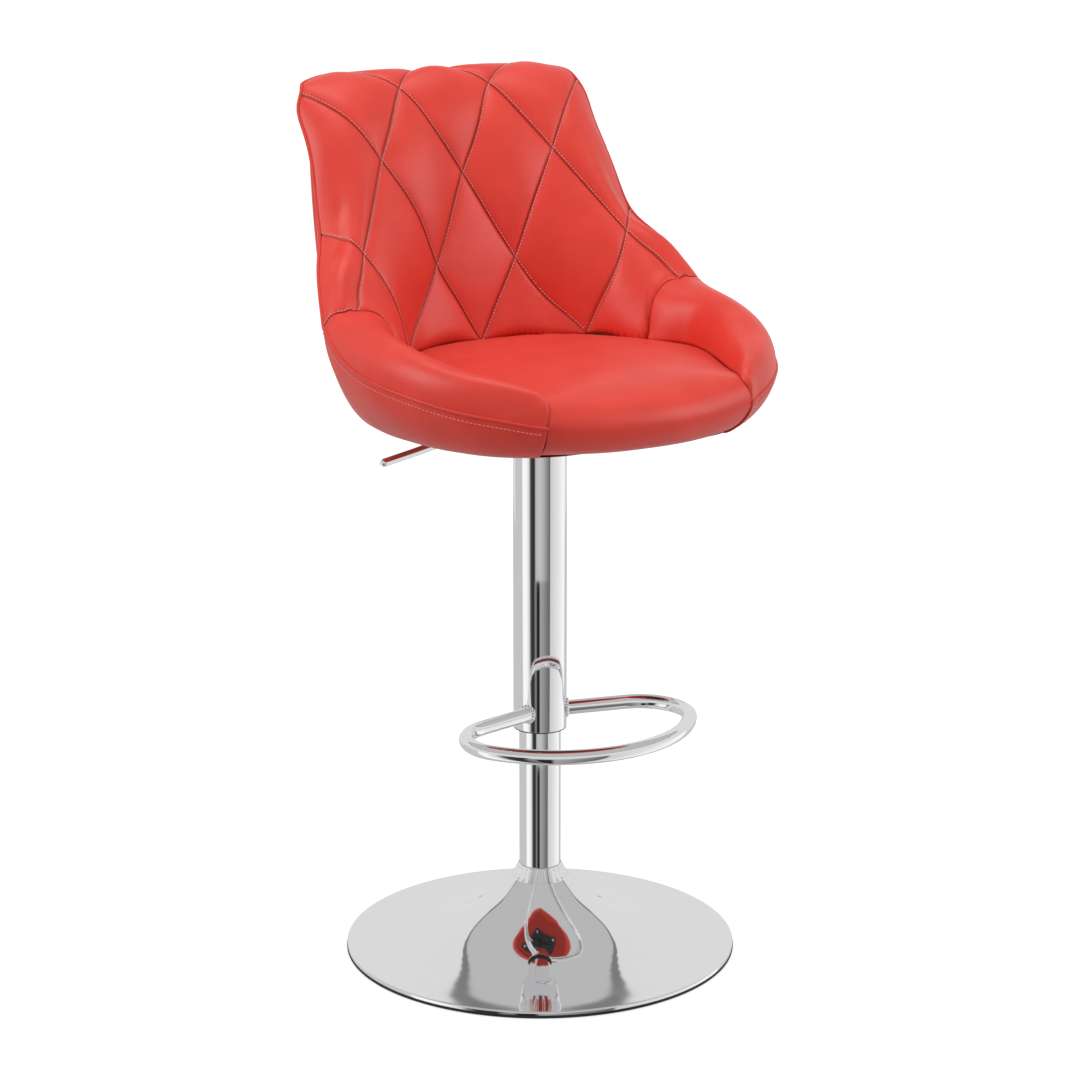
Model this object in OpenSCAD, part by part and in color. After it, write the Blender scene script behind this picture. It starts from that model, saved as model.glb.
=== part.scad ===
// Adjustable swivel stool: a quilted bucket seat on a gas spring, a telescoping column
// with a footrest, and a trumpet base.
// Origin on the column's axis at the floor. +Z is up and the sitter faces -Y.

/* [Base] */
// Radius of the base plate
base_r = 192.5; // [175:0.5:215]
// Height of the trumpet where the collar sits
neck_z = 69.5; // [60:0.5:80]
// Sheet thickness of the base shell
shell_t = 1.4; // [1.2:0.1:2]
// Number of slots round the collar
collar_slots = 24; // [12:2:32]

/* [Column] */
// Outer radius of the fixed column
column_r = 20.5; // [19.5:0.1:22]
// Outer radius of the telescoping cover tube
cover_r = 26.2; // [25.5:0.1:28]
// Height of the cover tube's lower edge with the seat at its lowest
cover_z = 227.4; // [215:0.1:240]
// Height of the column's top
column_top = 485; // [470:1:486]
// Radius of the gas spring's cylinder
cylinder_r = 14; // [12:0.5:15]
// Travel of the gas spring
stroke = 210; // [150:5:210]

/* [Footrest] */
// Radius of the footrest rod
foot_rod_r = 7.2; // [6:0.1:8]
// Height of the footrest's centre line
foot_z = 245.5; // [240:0.5:256]
// Half width of the footrest's centre line
foot_x = 118; // [105:1:130]
// Reach of the footrest's centre line in front of the axis
foot_reach = 158.5; // [145:0.5:170]

/* [Seat] */
// Height of the underside of the seat's plywood base
board_z = 540.8; // [540.8:0.1:541.2]
// Thickness of the seat's plywood base
board_t = 12; // [10:1:12]
// Side of the square bolt pattern in the seat plate
bolt_pitch = 130; // [110:5:130]
// Thickness of the upholstered back's front foam
back_foam_t = 24; // [15:1:26]
// Thickness of the curved plywood back panel
back_ply_t = 8; // [6:0.5:9]

/* [Lever] */
// Radius of the lever rod
lever_r = 4; // [3:0.5:4]
// Distance of the lever's tip from the axis
lever_reach = 170; // [150:1:190]
// Distance of the lever's pivot from the axis
lever_arm = 38; // [34:1:40]

/* [Hidden] */
$fn = 64;

chrome = [0.80, 0.81, 0.83];
steel = [0.55, 0.56, 0.58];
zinc = [0.66, 0.66, 0.62];
black = [0.06, 0.06, 0.06];
plywood = [0.72, 0.56, 0.38];
red = [0.74, 0.10, 0.07];
touch = 0.02;                          // hair gap between faces that only touch
fit = 0.05;                            // radial clearance of a running fit

// Base
edge_h = 2.6;                          // height of the rubber ring under the rim
rim_top = 6.2;
neck_r = 28;
shell_hole_r = 26;
flange_top = 12;                       // top of the column's flange
hub_flange_h = 3;
base_bolt_ring = 42;
base_bolt_r = 3;
// Column and gas spring
column_in = 18.7;
foot_top = 26;                         // top face of the disc that carries the bearing
ball_r = 1.6;
washer_t = 2;
bearing_z = foot_top + washer_t;       // underside of the balls
clip_z = bearing_z + 2 * ball_r + washer_t;
rod_r = 5;
cylinder_z = 66;                       // bottom of the gas cylinder at its lowest
cylinder_in = 11.5;
gland_h = 18;
piston_z = cylinder_z + gland_h + stroke + 6;
socket_z = 497;                        // start of the cylinder's taper
taper_top = 517.5;
channel_z = 514;                       // underside of the seat plate's channel, where the cover tube ends
taper_r = 13.3;
pin_r = 4;
pin_top = 522.85;
// Seat mechanism
plate_top = 540;
plate_t = 2.5;
lever_z = 527;
lever_bend_x = 94;
lever_dip = 11;                        // angle by which the outer lever dips
// Seat
board_top = board_z + board_t;
foam_z = board_top + touch;
cover_t = 2.5;

// ---------- helpers ----------

module ring(outer, inner, low, high) {
    translate([0, 0, low]) difference() {
        cylinder(r = outer, h = high - low);
        translate([0, 0, -1]) cylinder(r = inner, h = high - low + 2);
    }
}

module rounded_slab(width, depth, corner, low, high) {
    translate([0, 0, low]) linear_extrude(high - low) union() {
        square([width, depth - 2 * corner], center = true);
        square([width - 2 * corner, depth], center = true);
        for (x = [-1, 1], y = [-1, 1])
            translate([x * (width / 2 - corner), y * (depth / 2 - corner)]) circle(corner);
    }
}

module rod(from, to, radius) {
    span = to - from;
    length = norm(span);
    translate(from)
        rotate([0, acos(span[2] / length), atan2(span[1], span[0])])
            cylinder(r = radius, h = length);
}

module at_seat_bolts() {
    for (x = [-1, 1], y = [-1, 1])
        translate([x * bolt_pitch / 2, y * bolt_pitch / 2, 0]) children();
}

module at_base_bolts() {
    for (i = [0:3]) rotate(45 + i * 90) translate([base_bolt_ring, 0, 0]) children();
}

// A closed solid between two grids of points that face each other
module between(front, back) {
    rows = len(front);
    cols = len(front[0]);
    count = rows * cols;
    points = [for (g = [front, back], row = g, p = row) p];
    function f(i, j) = i * cols + j;
    faces = concat(
        [for (i = [0:rows - 2], j = [0:cols - 2]) [f(i, j), f(i, j + 1), f(i + 1, j + 1)]],
        [for (i = [0:rows - 2], j = [0:cols - 2]) [f(i, j), f(i + 1, j + 1), f(i + 1, j)]],
        [for (i = [0:rows - 2], j = [0:cols - 2])
            [count + f(i, j), count + f(i + 1, j + 1), count + f(i, j + 1)]],
        [for (i = [0:rows - 2], j = [0:cols - 2])
            [count + f(i, j), count + f(i + 1, j), count + f(i + 1, j + 1)]],
        [for (j = [0:cols - 2], k = [0, 1]) k == 0
            ? [f(0, j), count + f(0, j), count + f(0, j + 1)]
            : [f(0, j), count + f(0, j + 1), f(0, j + 1)]],
        [for (j = [0:cols - 2], k = [0, 1]) k == 0
            ? [f(rows - 1, j), count + f(rows - 1, j + 1), count + f(rows - 1, j)]
            : [f(rows - 1, j), f(rows - 1, j + 1), count + f(rows - 1, j + 1)]],
        [for (i = [0:rows - 2], k = [0, 1]) k == 0
            ? [f(i, 0), count + f(i + 1, 0), count + f(i, 0)]
            : [f(i, 0), f(i + 1, 0), count + f(i + 1, 0)]],
        [for (i = [0:rows - 2], k = [0, 1]) k == 0
            ? [f(i, cols - 1), count + f(i, cols - 1), count + f(i + 1, cols - 1)]
            : [f(i, cols - 1), count + f(i + 1, cols - 1), f(i + 1, cols - 1)]]
    );
    polyhedron(points = points, faces = faces, convexity = 6);
}

// A closed solid through rings of equal count, capped at both ends
module loft(rings) {
    n = len(rings[0]);
    last = len(rings) - 1;
    points = [for (r = rings, p = r) p];
    faces = concat(
        [[for (j = [0:n - 1]) j]],
        [for (i = [0:last - 1], j = [0:n - 1], k = [0, 1]) k == 0
            ? [i * n + j, (i + 1) * n + j, (i + 1) * n + (j + 1) % n]
            : [i * n + j, (i + 1) * n + (j + 1) % n, i * n + (j + 1) % n]],
        [[for (j = [n - 1:-1:0]) last * n + j]]
    );
    polyhedron(points = points, faces = faces, convexity = 6);
}

// A round rod along a path of points; refs holds a direction at each point that isn't along the path
module swept_rod(path, refs, radius, sides) {
    last = len(path) - 1;
    rings = [for (i = [0:last]) let (
        ahead = path[min(last, i + 1)] - path[max(0, i - 1)],
        along = ahead / norm(ahead),
        side = cross(along, refs[i]) / norm(cross(along, refs[i])),
        up = cross(side, along))
        [for (k = [0:sides - 1]) let (a = k * 360 / sides)
            path[i] + radius * (up * cos(a) + side * sin(a))]];
    loft(rings);
}

// ---------- base ----------

// Height of the trumpet's outer surface at radius r
function trumpet(r) = rim_top + (neck_z - rim_top) * pow((base_r - r) / (base_r - neck_r), 3);
function trumpet_slope(r) = 3 * (neck_z - rim_top) / (base_r - neck_r)
    * pow((base_r - r) / (base_r - neck_r), 2);
function trumpet_under(r) = trumpet(r) - shell_t * sqrt(1 + pow(trumpet_slope(r), 2));

module base_disc() color(chrome) {
    steps = 18;
    start = base_r - 3;
    radii = [for (i = [0:steps]) start + (shell_hole_r - start) * i / steps];
    outer = [for (r = radii) [r, trumpet(r)]];
    under = [for (i = [steps:-1:0]) [radii[i], trumpet_under(radii[i])]];
    edge_in = base_r - shell_t;
    rotate_extrude($fn = 128) polygon(concat(
        [[base_r, edge_h], [base_r, rim_top - 1.6], [base_r - 0.5, rim_top - 0.5], [base_r - 1.6, rim_top]],
        outer, under, [[edge_in, rim_top - shell_t], [edge_in, edge_h]]));
}

module edge_ring() color(black) ring(base_r + 0.5, base_r - 6.2, 0, edge_h);

module base_ballast() color(steel) ring(base_r - 6.5, 64, 1.5, 4.5);

module base_hub() color(steel) difference() {
    union() {
        ring(shell_hole_r - touch, column_r + 0.25, flange_top, neck_z + 1.5);
        ring(60, column_r + 0.25, flange_top, flange_top + hub_flange_h);
    }
    at_base_bolts() cylinder(r = base_bolt_r + 0.3, h = 60);
}

module column_flange() color(steel) difference() {
    translate([0, 0, 7.5]) cylinder(r = 52, h = flange_top - 7.5);
    cylinder(r = 12.5, h = 60);
    at_base_bolts() cylinder(r = base_bolt_r + 0.2, h = 60);
}

module base_bolts() color(zinc) at_base_bolts() {
    translate([0, 0, 3.5]) cylinder(r = 5.5, h = 4, $fn = 6);
    translate([0, 0, 7]) cylinder(r = base_bolt_r, h = 15);
}

module base_nuts() color(zinc) at_base_bolts() translate([0, 0, flange_top + hub_flange_h])
    difference() {
        cylinder(r = 5.5, h = 5, $fn = 6);
        translate([0, 0, -1]) cylinder(r = base_bolt_r, h = 8);
    }

module base_collar() color(chrome) {
    top = neck_z + 16;
    slope = atan((neck_r + 0.6 - column_r - 0.8) / 16);
    difference() {
        rotate_extrude() polygon([
            [neck_r + 0.1, neck_z + 0.1], [neck_r + 0.6, neck_z + 0.1], [neck_r + 0.6, neck_z + 1.5],
            [column_r + 0.8, top], [column_r + 0.1, top], [column_r + 0.1, neck_z + 4],
            [shell_hole_r + 0.6, neck_z + 3.4]]);
        for (i = [0:collar_slots - 1]) rotate(i * 360 / collar_slots)
            translate([column_r + 4.3, 0, neck_z + 8.4]) rotate([0, -slope, 0])
                cube([2, 2, 9], center = true);
    }
}

// ---------- column ----------

module column_tube() color(chrome) ring(column_r, column_in, flange_top, column_top);

module column_foot() color(steel) ring(column_in - touch, rod_r + 1, foot_top - 6, foot_top);

module guide_bush() color(black) {
    ring(column_in - touch, cylinder_r + fit, column_top - 100, column_top);
    ring(column_r - 0.1, cylinder_r + fit, column_top, column_top + 2.5);
}

// ---------- thrust bearing and rod, which turn with the seat ----------

module bearing_washer_lower() color(steel) ring(12, rod_r + 0.6, foot_top, bearing_z);

module bearing_washer_upper() color(steel) ring(12, rod_r + touch, bearing_z + 2 * ball_r, clip_z);

module bearing_balls() color(chrome) for (i = [0:7]) rotate(i * 45)
    translate([8.8, 0, bearing_z + ball_r]) sphere(ball_r, $fn = 24);

module bearing_ring() color(steel) ring(7.8, rod_r + touch, clip_z, clip_z + 1.2);

module retaining_clip() color(steel) ring(9, rod_r + touch, foot_top - 8.4, foot_top - 6.2);

module bump_stop() color(black) ring(10.5, rod_r + touch, clip_z + 1.2, cylinder_z - 0.2);

module piston_rod() color(chrome) translate([0, 0, 12]) cylinder(r = rod_r, h = piston_z - 12);

module piston() color(steel) translate([0, 0, piston_z]) cylinder(r = cylinder_in - fit, h = 16);

// ---------- gas spring body ----------

module gas_cylinder() color(black) difference() {
    union() {
        translate([0, 0, cylinder_z]) cylinder(r = cylinder_r, h = socket_z - cylinder_z);
        translate([0, 0, socket_z]) cylinder(r1 = cylinder_r, r2 = taper_r, h = taper_top - socket_z);
    }
    translate([0, 0, cylinder_z - 1]) cylinder(r = cylinder_in, h = 505 - cylinder_z + 1);
    translate([0, 0, 500]) cylinder(r = pin_r + fit, h = 30);
}

module cylinder_gland() color(steel)
    ring(cylinder_in - touch, rod_r + fit, cylinder_z, cylinder_z + gland_h);

module valve_body() color(steel) difference() {
    translate([0, 0, 456]) cylinder(r = cylinder_in - touch, h = 49 - touch);
    translate([0, 0, 467]) cylinder(r = pin_r + fit, h = 60);
}

module release_pin() color(steel) difference() {
    union() {
        translate([0, 0, 472]) cylinder(r = pin_r, h = pin_top - pin_r - 472);
        translate([0, 0, pin_top - pin_r]) sphere(pin_r, $fn = 32);
    }
    translate([-10, -10, 460]) cube([20, 20, 12]);
}

// ---------- cover tube and footrest ----------

module cover_tube() color(chrome) ring(cover_r, cover_r - 1.2, cover_z, channel_z - touch);

module cover_bush() color(black) {
    ring(cover_r - 1.2 - touch, column_r + 0.08, cover_z - 1, cover_z + 19);
    ring(cover_r - 0.2, column_r + 0.08, cover_z - 1, cover_z - touch);
}

module cover_cap() color(black)
    ring(cover_r - 1.2 - touch, cylinder_r + 0.2, socket_z - 6.5, socket_z - touch);

// The footrest's centre line: straight legs, round rear corners, round front corners, front arc
front_arc = 132;
front_corner = 44;
rear_corner = 47;
leg_slope = 13.6;
leg_start = [24, -13.5];
front_half = asin((foot_x - front_corner) / (front_arc - front_corner));
front_centre = [0, front_arc - foot_reach];
corner_centre = [foot_x - front_corner, front_centre[1] - (front_arc - front_corner) * cos(front_half)];
rear_x = foot_x - rear_corner;
rear_centre = [rear_x, leg_start[1]
    - (rear_corner + (rear_x - leg_start[0]) * sin(leg_slope)) / cos(leg_slope)];
leg_end = rear_centre + rear_corner * [sin(leg_slope), cos(leg_slope)];

function arc_points(centre, radius, from, to, steps) = [for (i = [0:steps])
    let (a = from + (to - from) * i / steps)
        [centre[0] + radius * cos(a), centre[1] + radius * sin(a), foot_z]];

module footrest_loop() {
    leg_root = [leg_start[0] - 1.4, leg_start[1] + 1.4 * tan(leg_slope), foot_z];
    half = concat(
        [leg_root, [(leg_root[0] + leg_end[0]) / 2, (leg_root[1] + leg_end[1]) / 2, foot_z]],
        arc_points(rear_centre, rear_corner, 90 - leg_slope, 0, 6),
        arc_points(corner_centre, front_corner, 0, front_half - 90, 3),
        arc_points(front_centre, front_arc, front_half - 98, -90, 5));
    last = len(half) - 1;
    other = [for (i = [last - 1:-1:0]) [-half[i][0], half[i][1], half[i][2]]];
    path = concat(half, other);
    color(chrome) swept_rod(path, [for (p = path) [0, 0, 1]], foot_rod_r, 16);
}

// ---------- mechanism under the seat ----------

web_y = 26;                            // half width of the channel that carries the lever
web_x = 56;                            // its half length
lug_z = lever_z - 8;

module seat_plate() color(black) difference() {
    union() {
        rounded_slab(170, 170, 14, plate_top - plate_t, plate_top);
        for (side = [-1, 1]) {
            translate([-web_x, side * web_y - 1.5, channel_z])
                cube([2 * web_x, 3, plate_top - 1 - channel_z]);
            translate([-lever_arm - 8, side * 9 - 1.5, lug_z]) cube([16, 3, plate_top - 1 - lug_z]);
        }
        translate([-web_x, -web_y - 1.5, channel_z]) cube([2 * web_x, 2 * web_y + 3, 3]);
        translate([0, 0, socket_z]) cylinder(r = 18, h = taper_top - socket_z);
    }
    at_seat_bolts() translate([0, 0, 500]) cylinder(r = 3.3, h = 60);
    translate([0, 0, socket_z - 1]) cylinder(r = cylinder_r + touch, h = 1.01);
    translate([0, 0, socket_z])
        cylinder(r1 = cylinder_r + touch, r2 = taper_r + touch, h = taper_top - socket_z);
    translate([0, 0, taper_top - touch]) cylinder(r = taper_r + touch, h = 5);
    translate([-lever_arm, -20, lever_z]) rotate([-90, 0, 0]) cylinder(r = 2.5 + fit, h = 40);
}

module seat_bolts() color(zinc) at_seat_bolts() {
    translate([0, 0, plate_top - plate_t - 5.4]) cylinder(r = 5.5, h = 4.1, $fn = 6);
    translate([0, 0, plate_top - plate_t - 2])
        cylinder(r = 3, h = board_top - 0.4 - plate_top + plate_t + 2);
}

module bolt_washers() color(zinc) at_seat_bolts()
    ring(7.5, 3 + touch, plate_top - plate_t - 1.3, plate_top - plate_t);

module tee_nuts() color(zinc) at_seat_bolts() {
    ring(4.2, 3, board_z + 3, board_top - 1.3);
    ring(9, 3, board_top - 1.3, board_top);
}

module dust_cover() color(red) difference() {
    translate([0, -30, 0]) rounded_slab(310, 280, 92, plate_top, board_z);
    at_seat_bolts() translate([0, 0, 500]) cylinder(r = 3.6, h = 60);
}

module seat_board() color(plywood) difference() {
    translate([0, -30, 0]) rounded_slab(300, 270, 90, board_z, board_top);
    at_seat_bolts() {
        translate([0, 0, 500]) cylinder(r = 4.2 + touch, h = 100);
        translate([0, 0, board_top - 1.3 - touch]) cylinder(r = 9 + touch, h = 10);
    }
}

module lever_rods() {
    tip = [-lever_reach, 0, lever_z - (lever_reach - lever_bend_x) * tan(lever_dip)];
    rod([-lever_bend_x, 0, lever_z], [4, 0, lever_z], lever_r);
    rod([-lever_bend_x + 3, 0, lever_z], tip, lever_r - 0.03);
}

module lever() color(chrome) difference() {
    union() {
        lever_rods();
        translate([-lever_arm, -7, lever_z]) rotate([-90, 0, 0]) cylinder(r = 5.5, h = 14);
    }
    translate([-lever_arm, -20, lever_z]) rotate([-90, 0, 0]) cylinder(r = 2.5, h = 40);
}

module lever_pin() color(steel) translate([-lever_arm, 0, lever_z]) rotate([90, 0, 0]) {
    cylinder(r = 2.5, h = 25, center = true);
    for (side = [-1, 1]) translate([0, 0, side * 11.8]) cylinder(r = 4, h = 1.8, center = true);
}

// ---------- upholstered seat ----------

// Front face of the back along its centre line: [height, y]
back_centre = [[540, 106], [594, 112], [640, 118], [672, 125], [714, 136], [756, 149], [796, 166],
    [837, 186], [850, 193]];
// Half width of the back and y of its rim: [height, value]
back_half = [[556, 134], [598, 136], [620, 168], [638, 196], [654, 205], [670, 200], [689, 190], [711, 174],
    [742, 172], [785, 169], [815, 165], [837, 156], [850, 140]];
back_rim_y = [[556, 24], [598, 24], [620, 30], [638, 40], [654, 46], [670, 57], [689, 80], [711, 117],
    [742, 131], [785, 152], [815, 170], [837, 184], [850, 190]];

// How far the sides stand forward of a plain curve from centre to rim: [height, depth]
back_ridge = [[556, 0], [597, 0], [620, 12], [648, 31], [696, 31], [735, 28], [775, 20], [808, 14],
    [835, 3], [850, 0]];

function back_y(s, z) = lookup(z, back_centre)
    - (lookup(z, back_centre) - lookup(z, back_rim_y)) * pow(abs(s), 2.4)
    - 2.24 * lookup(z, back_ridge) * pow(abs(s), 1.5) * (1 - pow(s, 4));

// A grid over the back, set back by depth, from height low to high and over part of the width.
// The padding thins out towards the rim.
function back_grid(low, high, rows, cols, depth, part) = [for (i = [0:rows])
    let (z = low + (high - low) * i / rows)
    [for (j = [0:cols]) let (s = part * (2 * j / cols - 1))
        [s * lookup(z, back_half), back_y(s, z) + depth * (1 - 0.88 * pow(abs(s), 3)), z]]];

module back_pad() color(red) between(
    back_grid(556, 848, 20, 18, 0, 0.985),
    back_grid(556, 848, 20, 18, back_foam_t, 0.985));

module back_board() color(plywood) between(
    back_grid(557, 836, 16, 14, back_foam_t + 1.4, 0.9),
    back_grid(557, 836, 16, 14, back_foam_t + 1.4 + back_ply_t, 0.9));

// Half width and crown of the seat cushion: [y, value]
cushion_half = [[-212, 60], [-204, 94], [-190, 110], [-160, 120], [-126, 130], [-71, 147], [-27, 152],
    [-6, 148], [21, 127], [48, 111], [70, 90], [88, 64], [102, 30]];
cushion_crown = [[-212, 566], [-204, 582], [-190, 594], [-150, 604], [-80, 609], [0, 608], [60, 602],
    [102, 594]];
cushion_edge = [[-212, 560], [-204, 568], [-190, 577], [-160, 583], [-71, 592], [20, 592], [102, 592]];
cushion_rows = [-212, -204, -190, -177, -167, -150, -126, -98, -71, -27, -6, 21, 48, 70, 88, 102];
// How the underside rises over the front edge of the board and draws in at its sides: [y, value]
cushion_lift = [[-177, board_z + 1], [-167, foam_z]];
cushion_inset = [[-177, 18], [-150, 1]];
cushion_tuck = [[-177, 4], [-167, 0]];

module seat_cushion() {
    cols = 12;
    function top_z(s, y) = lookup(y, cushion_edge)
        + (lookup(y, cushion_crown) - lookup(y, cushion_edge)) * (1 - pow(abs(s), 3));
    function upper(y) = [for (j = [0:cols]) let (s = 2 * j / cols - 1)
        [s * (lookup(y, cushion_half) - 1), y, top_z(s, y)]];
    function lower(y) = [for (j = [0:cols]) let (s = 2 * j / cols - 1)
        [s * (lookup(y, cushion_half) - lookup(y, cushion_inset)), y + lookup(y, cushion_tuck),
            lookup(y, cushion_lift)]];
    color(red) between([for (y = cushion_rows) upper(y)], [for (y = cushion_rows) lower(y)]);
}

// Bolster stations: [y at the crease, y at the rim, crease x, crest x, crest z, rim x, rim z]
bolster_stations = [
    [-196, -194, 110.5, 112, 588, 114, 573],
    [-180, -184, 117, 121, 606, 126, 576],
    [-160, -167, 122, 136, 614, 149, 581],
    [-126, -130, 131.5, 164, 622, 183, 589],
    [-71, -75, 148.5, 183, 632, 206, 600],
    [-27, -30, 153.5, 185, 642, 213, 609],
    [-6, 2, 151.5, 184, 647, 214, 614],
    [18, 30, 135, 181, 651, 211, 626]
];

module bolster(side) {
    function station(b) = let (yc = b[0], yr = b[1], cx = b[2], tx = b[3], tz = b[4], rx = b[5], rz = b[6],
        ym = (yc + yr) / 2, low_x = rx - min(44, 0.5 * (rx - cx) + 14)) [
        [cx, yc, foam_z],
        [cx, yc, 590 - 0.09 * max(0, -yc - 100)],
        [cx + 0.35 * (tx - cx), ym, tz - 0.42 * (tz - 590)],
        [cx + 0.7 * (tx - cx), ym, tz - 6],
        [tx, ym, tz],
        [tx + 0.55 * (rx - tx), yr, tz - 0.2 * (tz - rz)],
        [rx - 3, yr, rz + 0.35 * (tz - rz)],
        [rx - 4, yr, rz],
        [rx - 12, yr, rz - 22],
        [low_x + 2, ym, foam_z + 2],
        [low_x - 4, ym, foam_z]];
    rings = [for (b = bolster_stations) [for (p = station(b)) [side * p[0], p[1], p[2]]]];
    color(red) loft(side > 0 ? rings : [for (r = rings) [for (i = [len(r) - 1:-1:0]) r[i]]]);
}

module bolster_left() bolster(1);

module bolster_right() bolster(-1);

// The rim seam on the +X side from the middle of the top edge forward to the seat's front corner
rim = [[0, 226, 851], [50, 226, 851], [100, 224, 850], [138, 216, 845], [158, 200, 828], [168, 176, 806],
    [172, 154, 785], [175, 133, 742], [177, 119, 711], [192, 82, 689], [203, 58, 670], [210, 46, 654],
    [214, 39, 638], [216.5, 6, 617], [216.5, -30, 609], [209, -75, 600], [186, -130, 589], [150, -170, 580],
    [112, -196, 573]];
// Where each of those lines meets the underside
sole = [[0, 130, 541], [40, 128, 541], [80, 122, 541], [112, 112, 541], [134, 96, 541], [148, 76, 541],
    [156, 56, 541], [160, 40, 541], [162, 26, 541], [163.5, 12, 541], [164, 0, 541], [164.5, -12, 541],
    [165, -24, 541], [164, -44, 541], [162, -66, 541], [158, -92, 541], [146, -126, 541], [126, -156, 541],
    [98, -178, 541]];
// How far each line bulges away from the column
bulge = [44, 44, 44, 44, 44, 43, 42, 40, 38, 36, 34, 32, 30, 28, 26, 24, 22, 19, 14];

function bezier(a, b, c, d, t) = a * pow(1 - t, 3) + b * 3 * t * pow(1 - t, 2)
    + c * 3 * t * t * (1 - t) + d * t * t * t;

function outward(p) = let (d = [p[0], p[1] - 10, 0]) d / max(1, norm(d));

// One line of the shell from rim to sole, set inward by depth
function shell_line(i, depth) = let (
    out = outward(sole[i]),
    top = rim[i] - depth * out,
    foot = sole[i] + [0, 0, depth] - depth * out,
    fall = top[2] - foot[2],
    lean = [0, 0.28 * max(0, foot[1] - 40) / 90, 0] * fall * 0.2,
    below_rim = top - [0, 0, 0.45 * fall] - lean,
    above_sole = foot + out * bulge[i] + [0, 0, 0.06 * fall])
    [for (k = [0:9]) bezier(top, below_rim, above_sole, foot, k / 9)];

function mirrored(line) = [for (p = line) [-p[0], p[1], p[2]]];

module outer_cover() {
    last = len(rim) - 1;
    function grid(depth) = concat(
        [for (i = [last:-1:1]) mirrored(shell_line(i, depth))],
        [for (i = [0:last]) shell_line(i, depth)]);
    color(red) between(grid(cover_t), grid(0));
}

// Piping along the rim seam
module welt() {
    last = len(rim) - 1;
    seam = concat([for (i = [last:-1:1]) [-rim[i][0], rim[i][1], rim[i][2]]], rim);
    path = [for (p = seam) p + [0, 0, 3.2]];
    color(red) swept_rod(path, [for (p = path) outward(p)], 2.2, 6);
}

base_disc();
edge_ring();
base_ballast();
base_hub();
column_flange();
base_bolts();
base_nuts();
base_collar();
column_tube();
column_foot();
bearing_washer_lower();
guide_bush();
bearing_balls();
bearing_washer_upper();
bearing_ring();
retaining_clip();
bump_stop();
piston_rod();
piston();
gas_cylinder();
cylinder_gland();
valve_body();
cover_tube();
cover_bush();
cover_cap();
footrest_loop();
seat_plate();
seat_bolts();
bolt_washers();
tee_nuts();
dust_cover();
seat_board();
back_board();
seat_cushion();
bolster_left();
bolster_right();
back_pad();
outer_cover();
welt();
lever();
lever_pin();
release_pin();
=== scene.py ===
"""An adjustable swivel stool: quilted leather tub seat, chrome column, footrest and trumpet base."""
import math

import bpy
import bmesh
import numpy as np
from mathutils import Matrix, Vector
from mathutils.geometry import delaunay_2d_cdt


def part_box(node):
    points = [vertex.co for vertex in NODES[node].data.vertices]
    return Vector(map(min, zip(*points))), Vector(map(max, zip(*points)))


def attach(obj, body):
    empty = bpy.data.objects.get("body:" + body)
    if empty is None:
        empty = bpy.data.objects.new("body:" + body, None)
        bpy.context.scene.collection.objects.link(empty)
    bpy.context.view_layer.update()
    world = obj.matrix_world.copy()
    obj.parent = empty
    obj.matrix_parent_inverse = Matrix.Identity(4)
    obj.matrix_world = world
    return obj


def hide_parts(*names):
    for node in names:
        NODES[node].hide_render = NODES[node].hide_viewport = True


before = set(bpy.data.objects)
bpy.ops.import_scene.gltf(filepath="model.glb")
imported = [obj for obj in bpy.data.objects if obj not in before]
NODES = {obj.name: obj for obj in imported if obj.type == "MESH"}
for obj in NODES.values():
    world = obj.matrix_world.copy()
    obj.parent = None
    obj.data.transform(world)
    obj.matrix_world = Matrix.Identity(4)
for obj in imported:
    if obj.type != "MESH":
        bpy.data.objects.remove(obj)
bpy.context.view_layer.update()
MM = 0.001

# The camera looks at the column from this side of the front and this far above the floor
VIEW_SIDE = 31.09
VIEW_DOWN = 14.408
CAMERA_REACH = 2.8146
CAMERA_HEIGHT = 1.1385
LENS = 100.0


# ---------------------------------------------------------------- meshes

def make_object(name, points, faces, material, smooth=True, sharp=None):
    """A mesh object from points in millimetres."""
    mesh = bpy.data.meshes.new(name)
    mesh.from_pydata([tuple(float(c) * MM for c in p) for p in points], [], [tuple(f) for f in faces])
    mesh.validate()
    mesh.update()
    obj = bpy.data.objects.new(name, mesh)
    bpy.context.scene.collection.objects.link(obj)
    mesh.materials.append(material)
    if smooth:
        mesh.polygons.foreach_set("use_smooth", [True] * len(mesh.polygons))
    if sharp is not None:
        mesh.set_sharp_from_angle(angle=math.radians(sharp))
    return obj


def make_solid(name, points, faces, material, smooth=True, sharp=None):
    """A closed mesh object with every face turned outward."""
    obj = make_object(name, points, faces, material, smooth, sharp)
    bm = bmesh.new()
    bm.from_mesh(obj.data)
    bmesh.ops.recalc_face_normals(bm, faces=bm.faces)
    bm.to_mesh(obj.data)
    bm.free()
    return obj


def place(obj, body, replaced=()):
    """Rides the piece on its body and hides the CAD nodes it stands for."""
    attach(obj, body)
    if replaced:
        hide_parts(*replaced)
    return obj


def grid_faces(rows, cols, around=False, joined=False, first=0):
    """Quads of a grid of points, closed along the columns if around, last row to first row if joined."""
    faces = []
    for i in range(rows if joined else rows - 1):
        a, b = first + i * cols, first + (i + 1) % rows * cols
        for j in range(cols if around else cols - 1):
            k = (j + 1) % cols
            faces.append((a + j, a + k, b + k, b + j))
    return faces


def shifted_faces(faces, by):
    """The same faces for points that follow by others."""
    return [tuple(by + k for k in f) for f in faces]


def reversed_faces(faces):
    return [f[::-1] for f in faces]


def ring(radius, height, steps):
    """Points round the column."""
    turns = [2 * math.pi * k / steps for k in range(steps)]
    return [(radius * math.cos(a), radius * math.sin(a), height) for a in turns]


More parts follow.
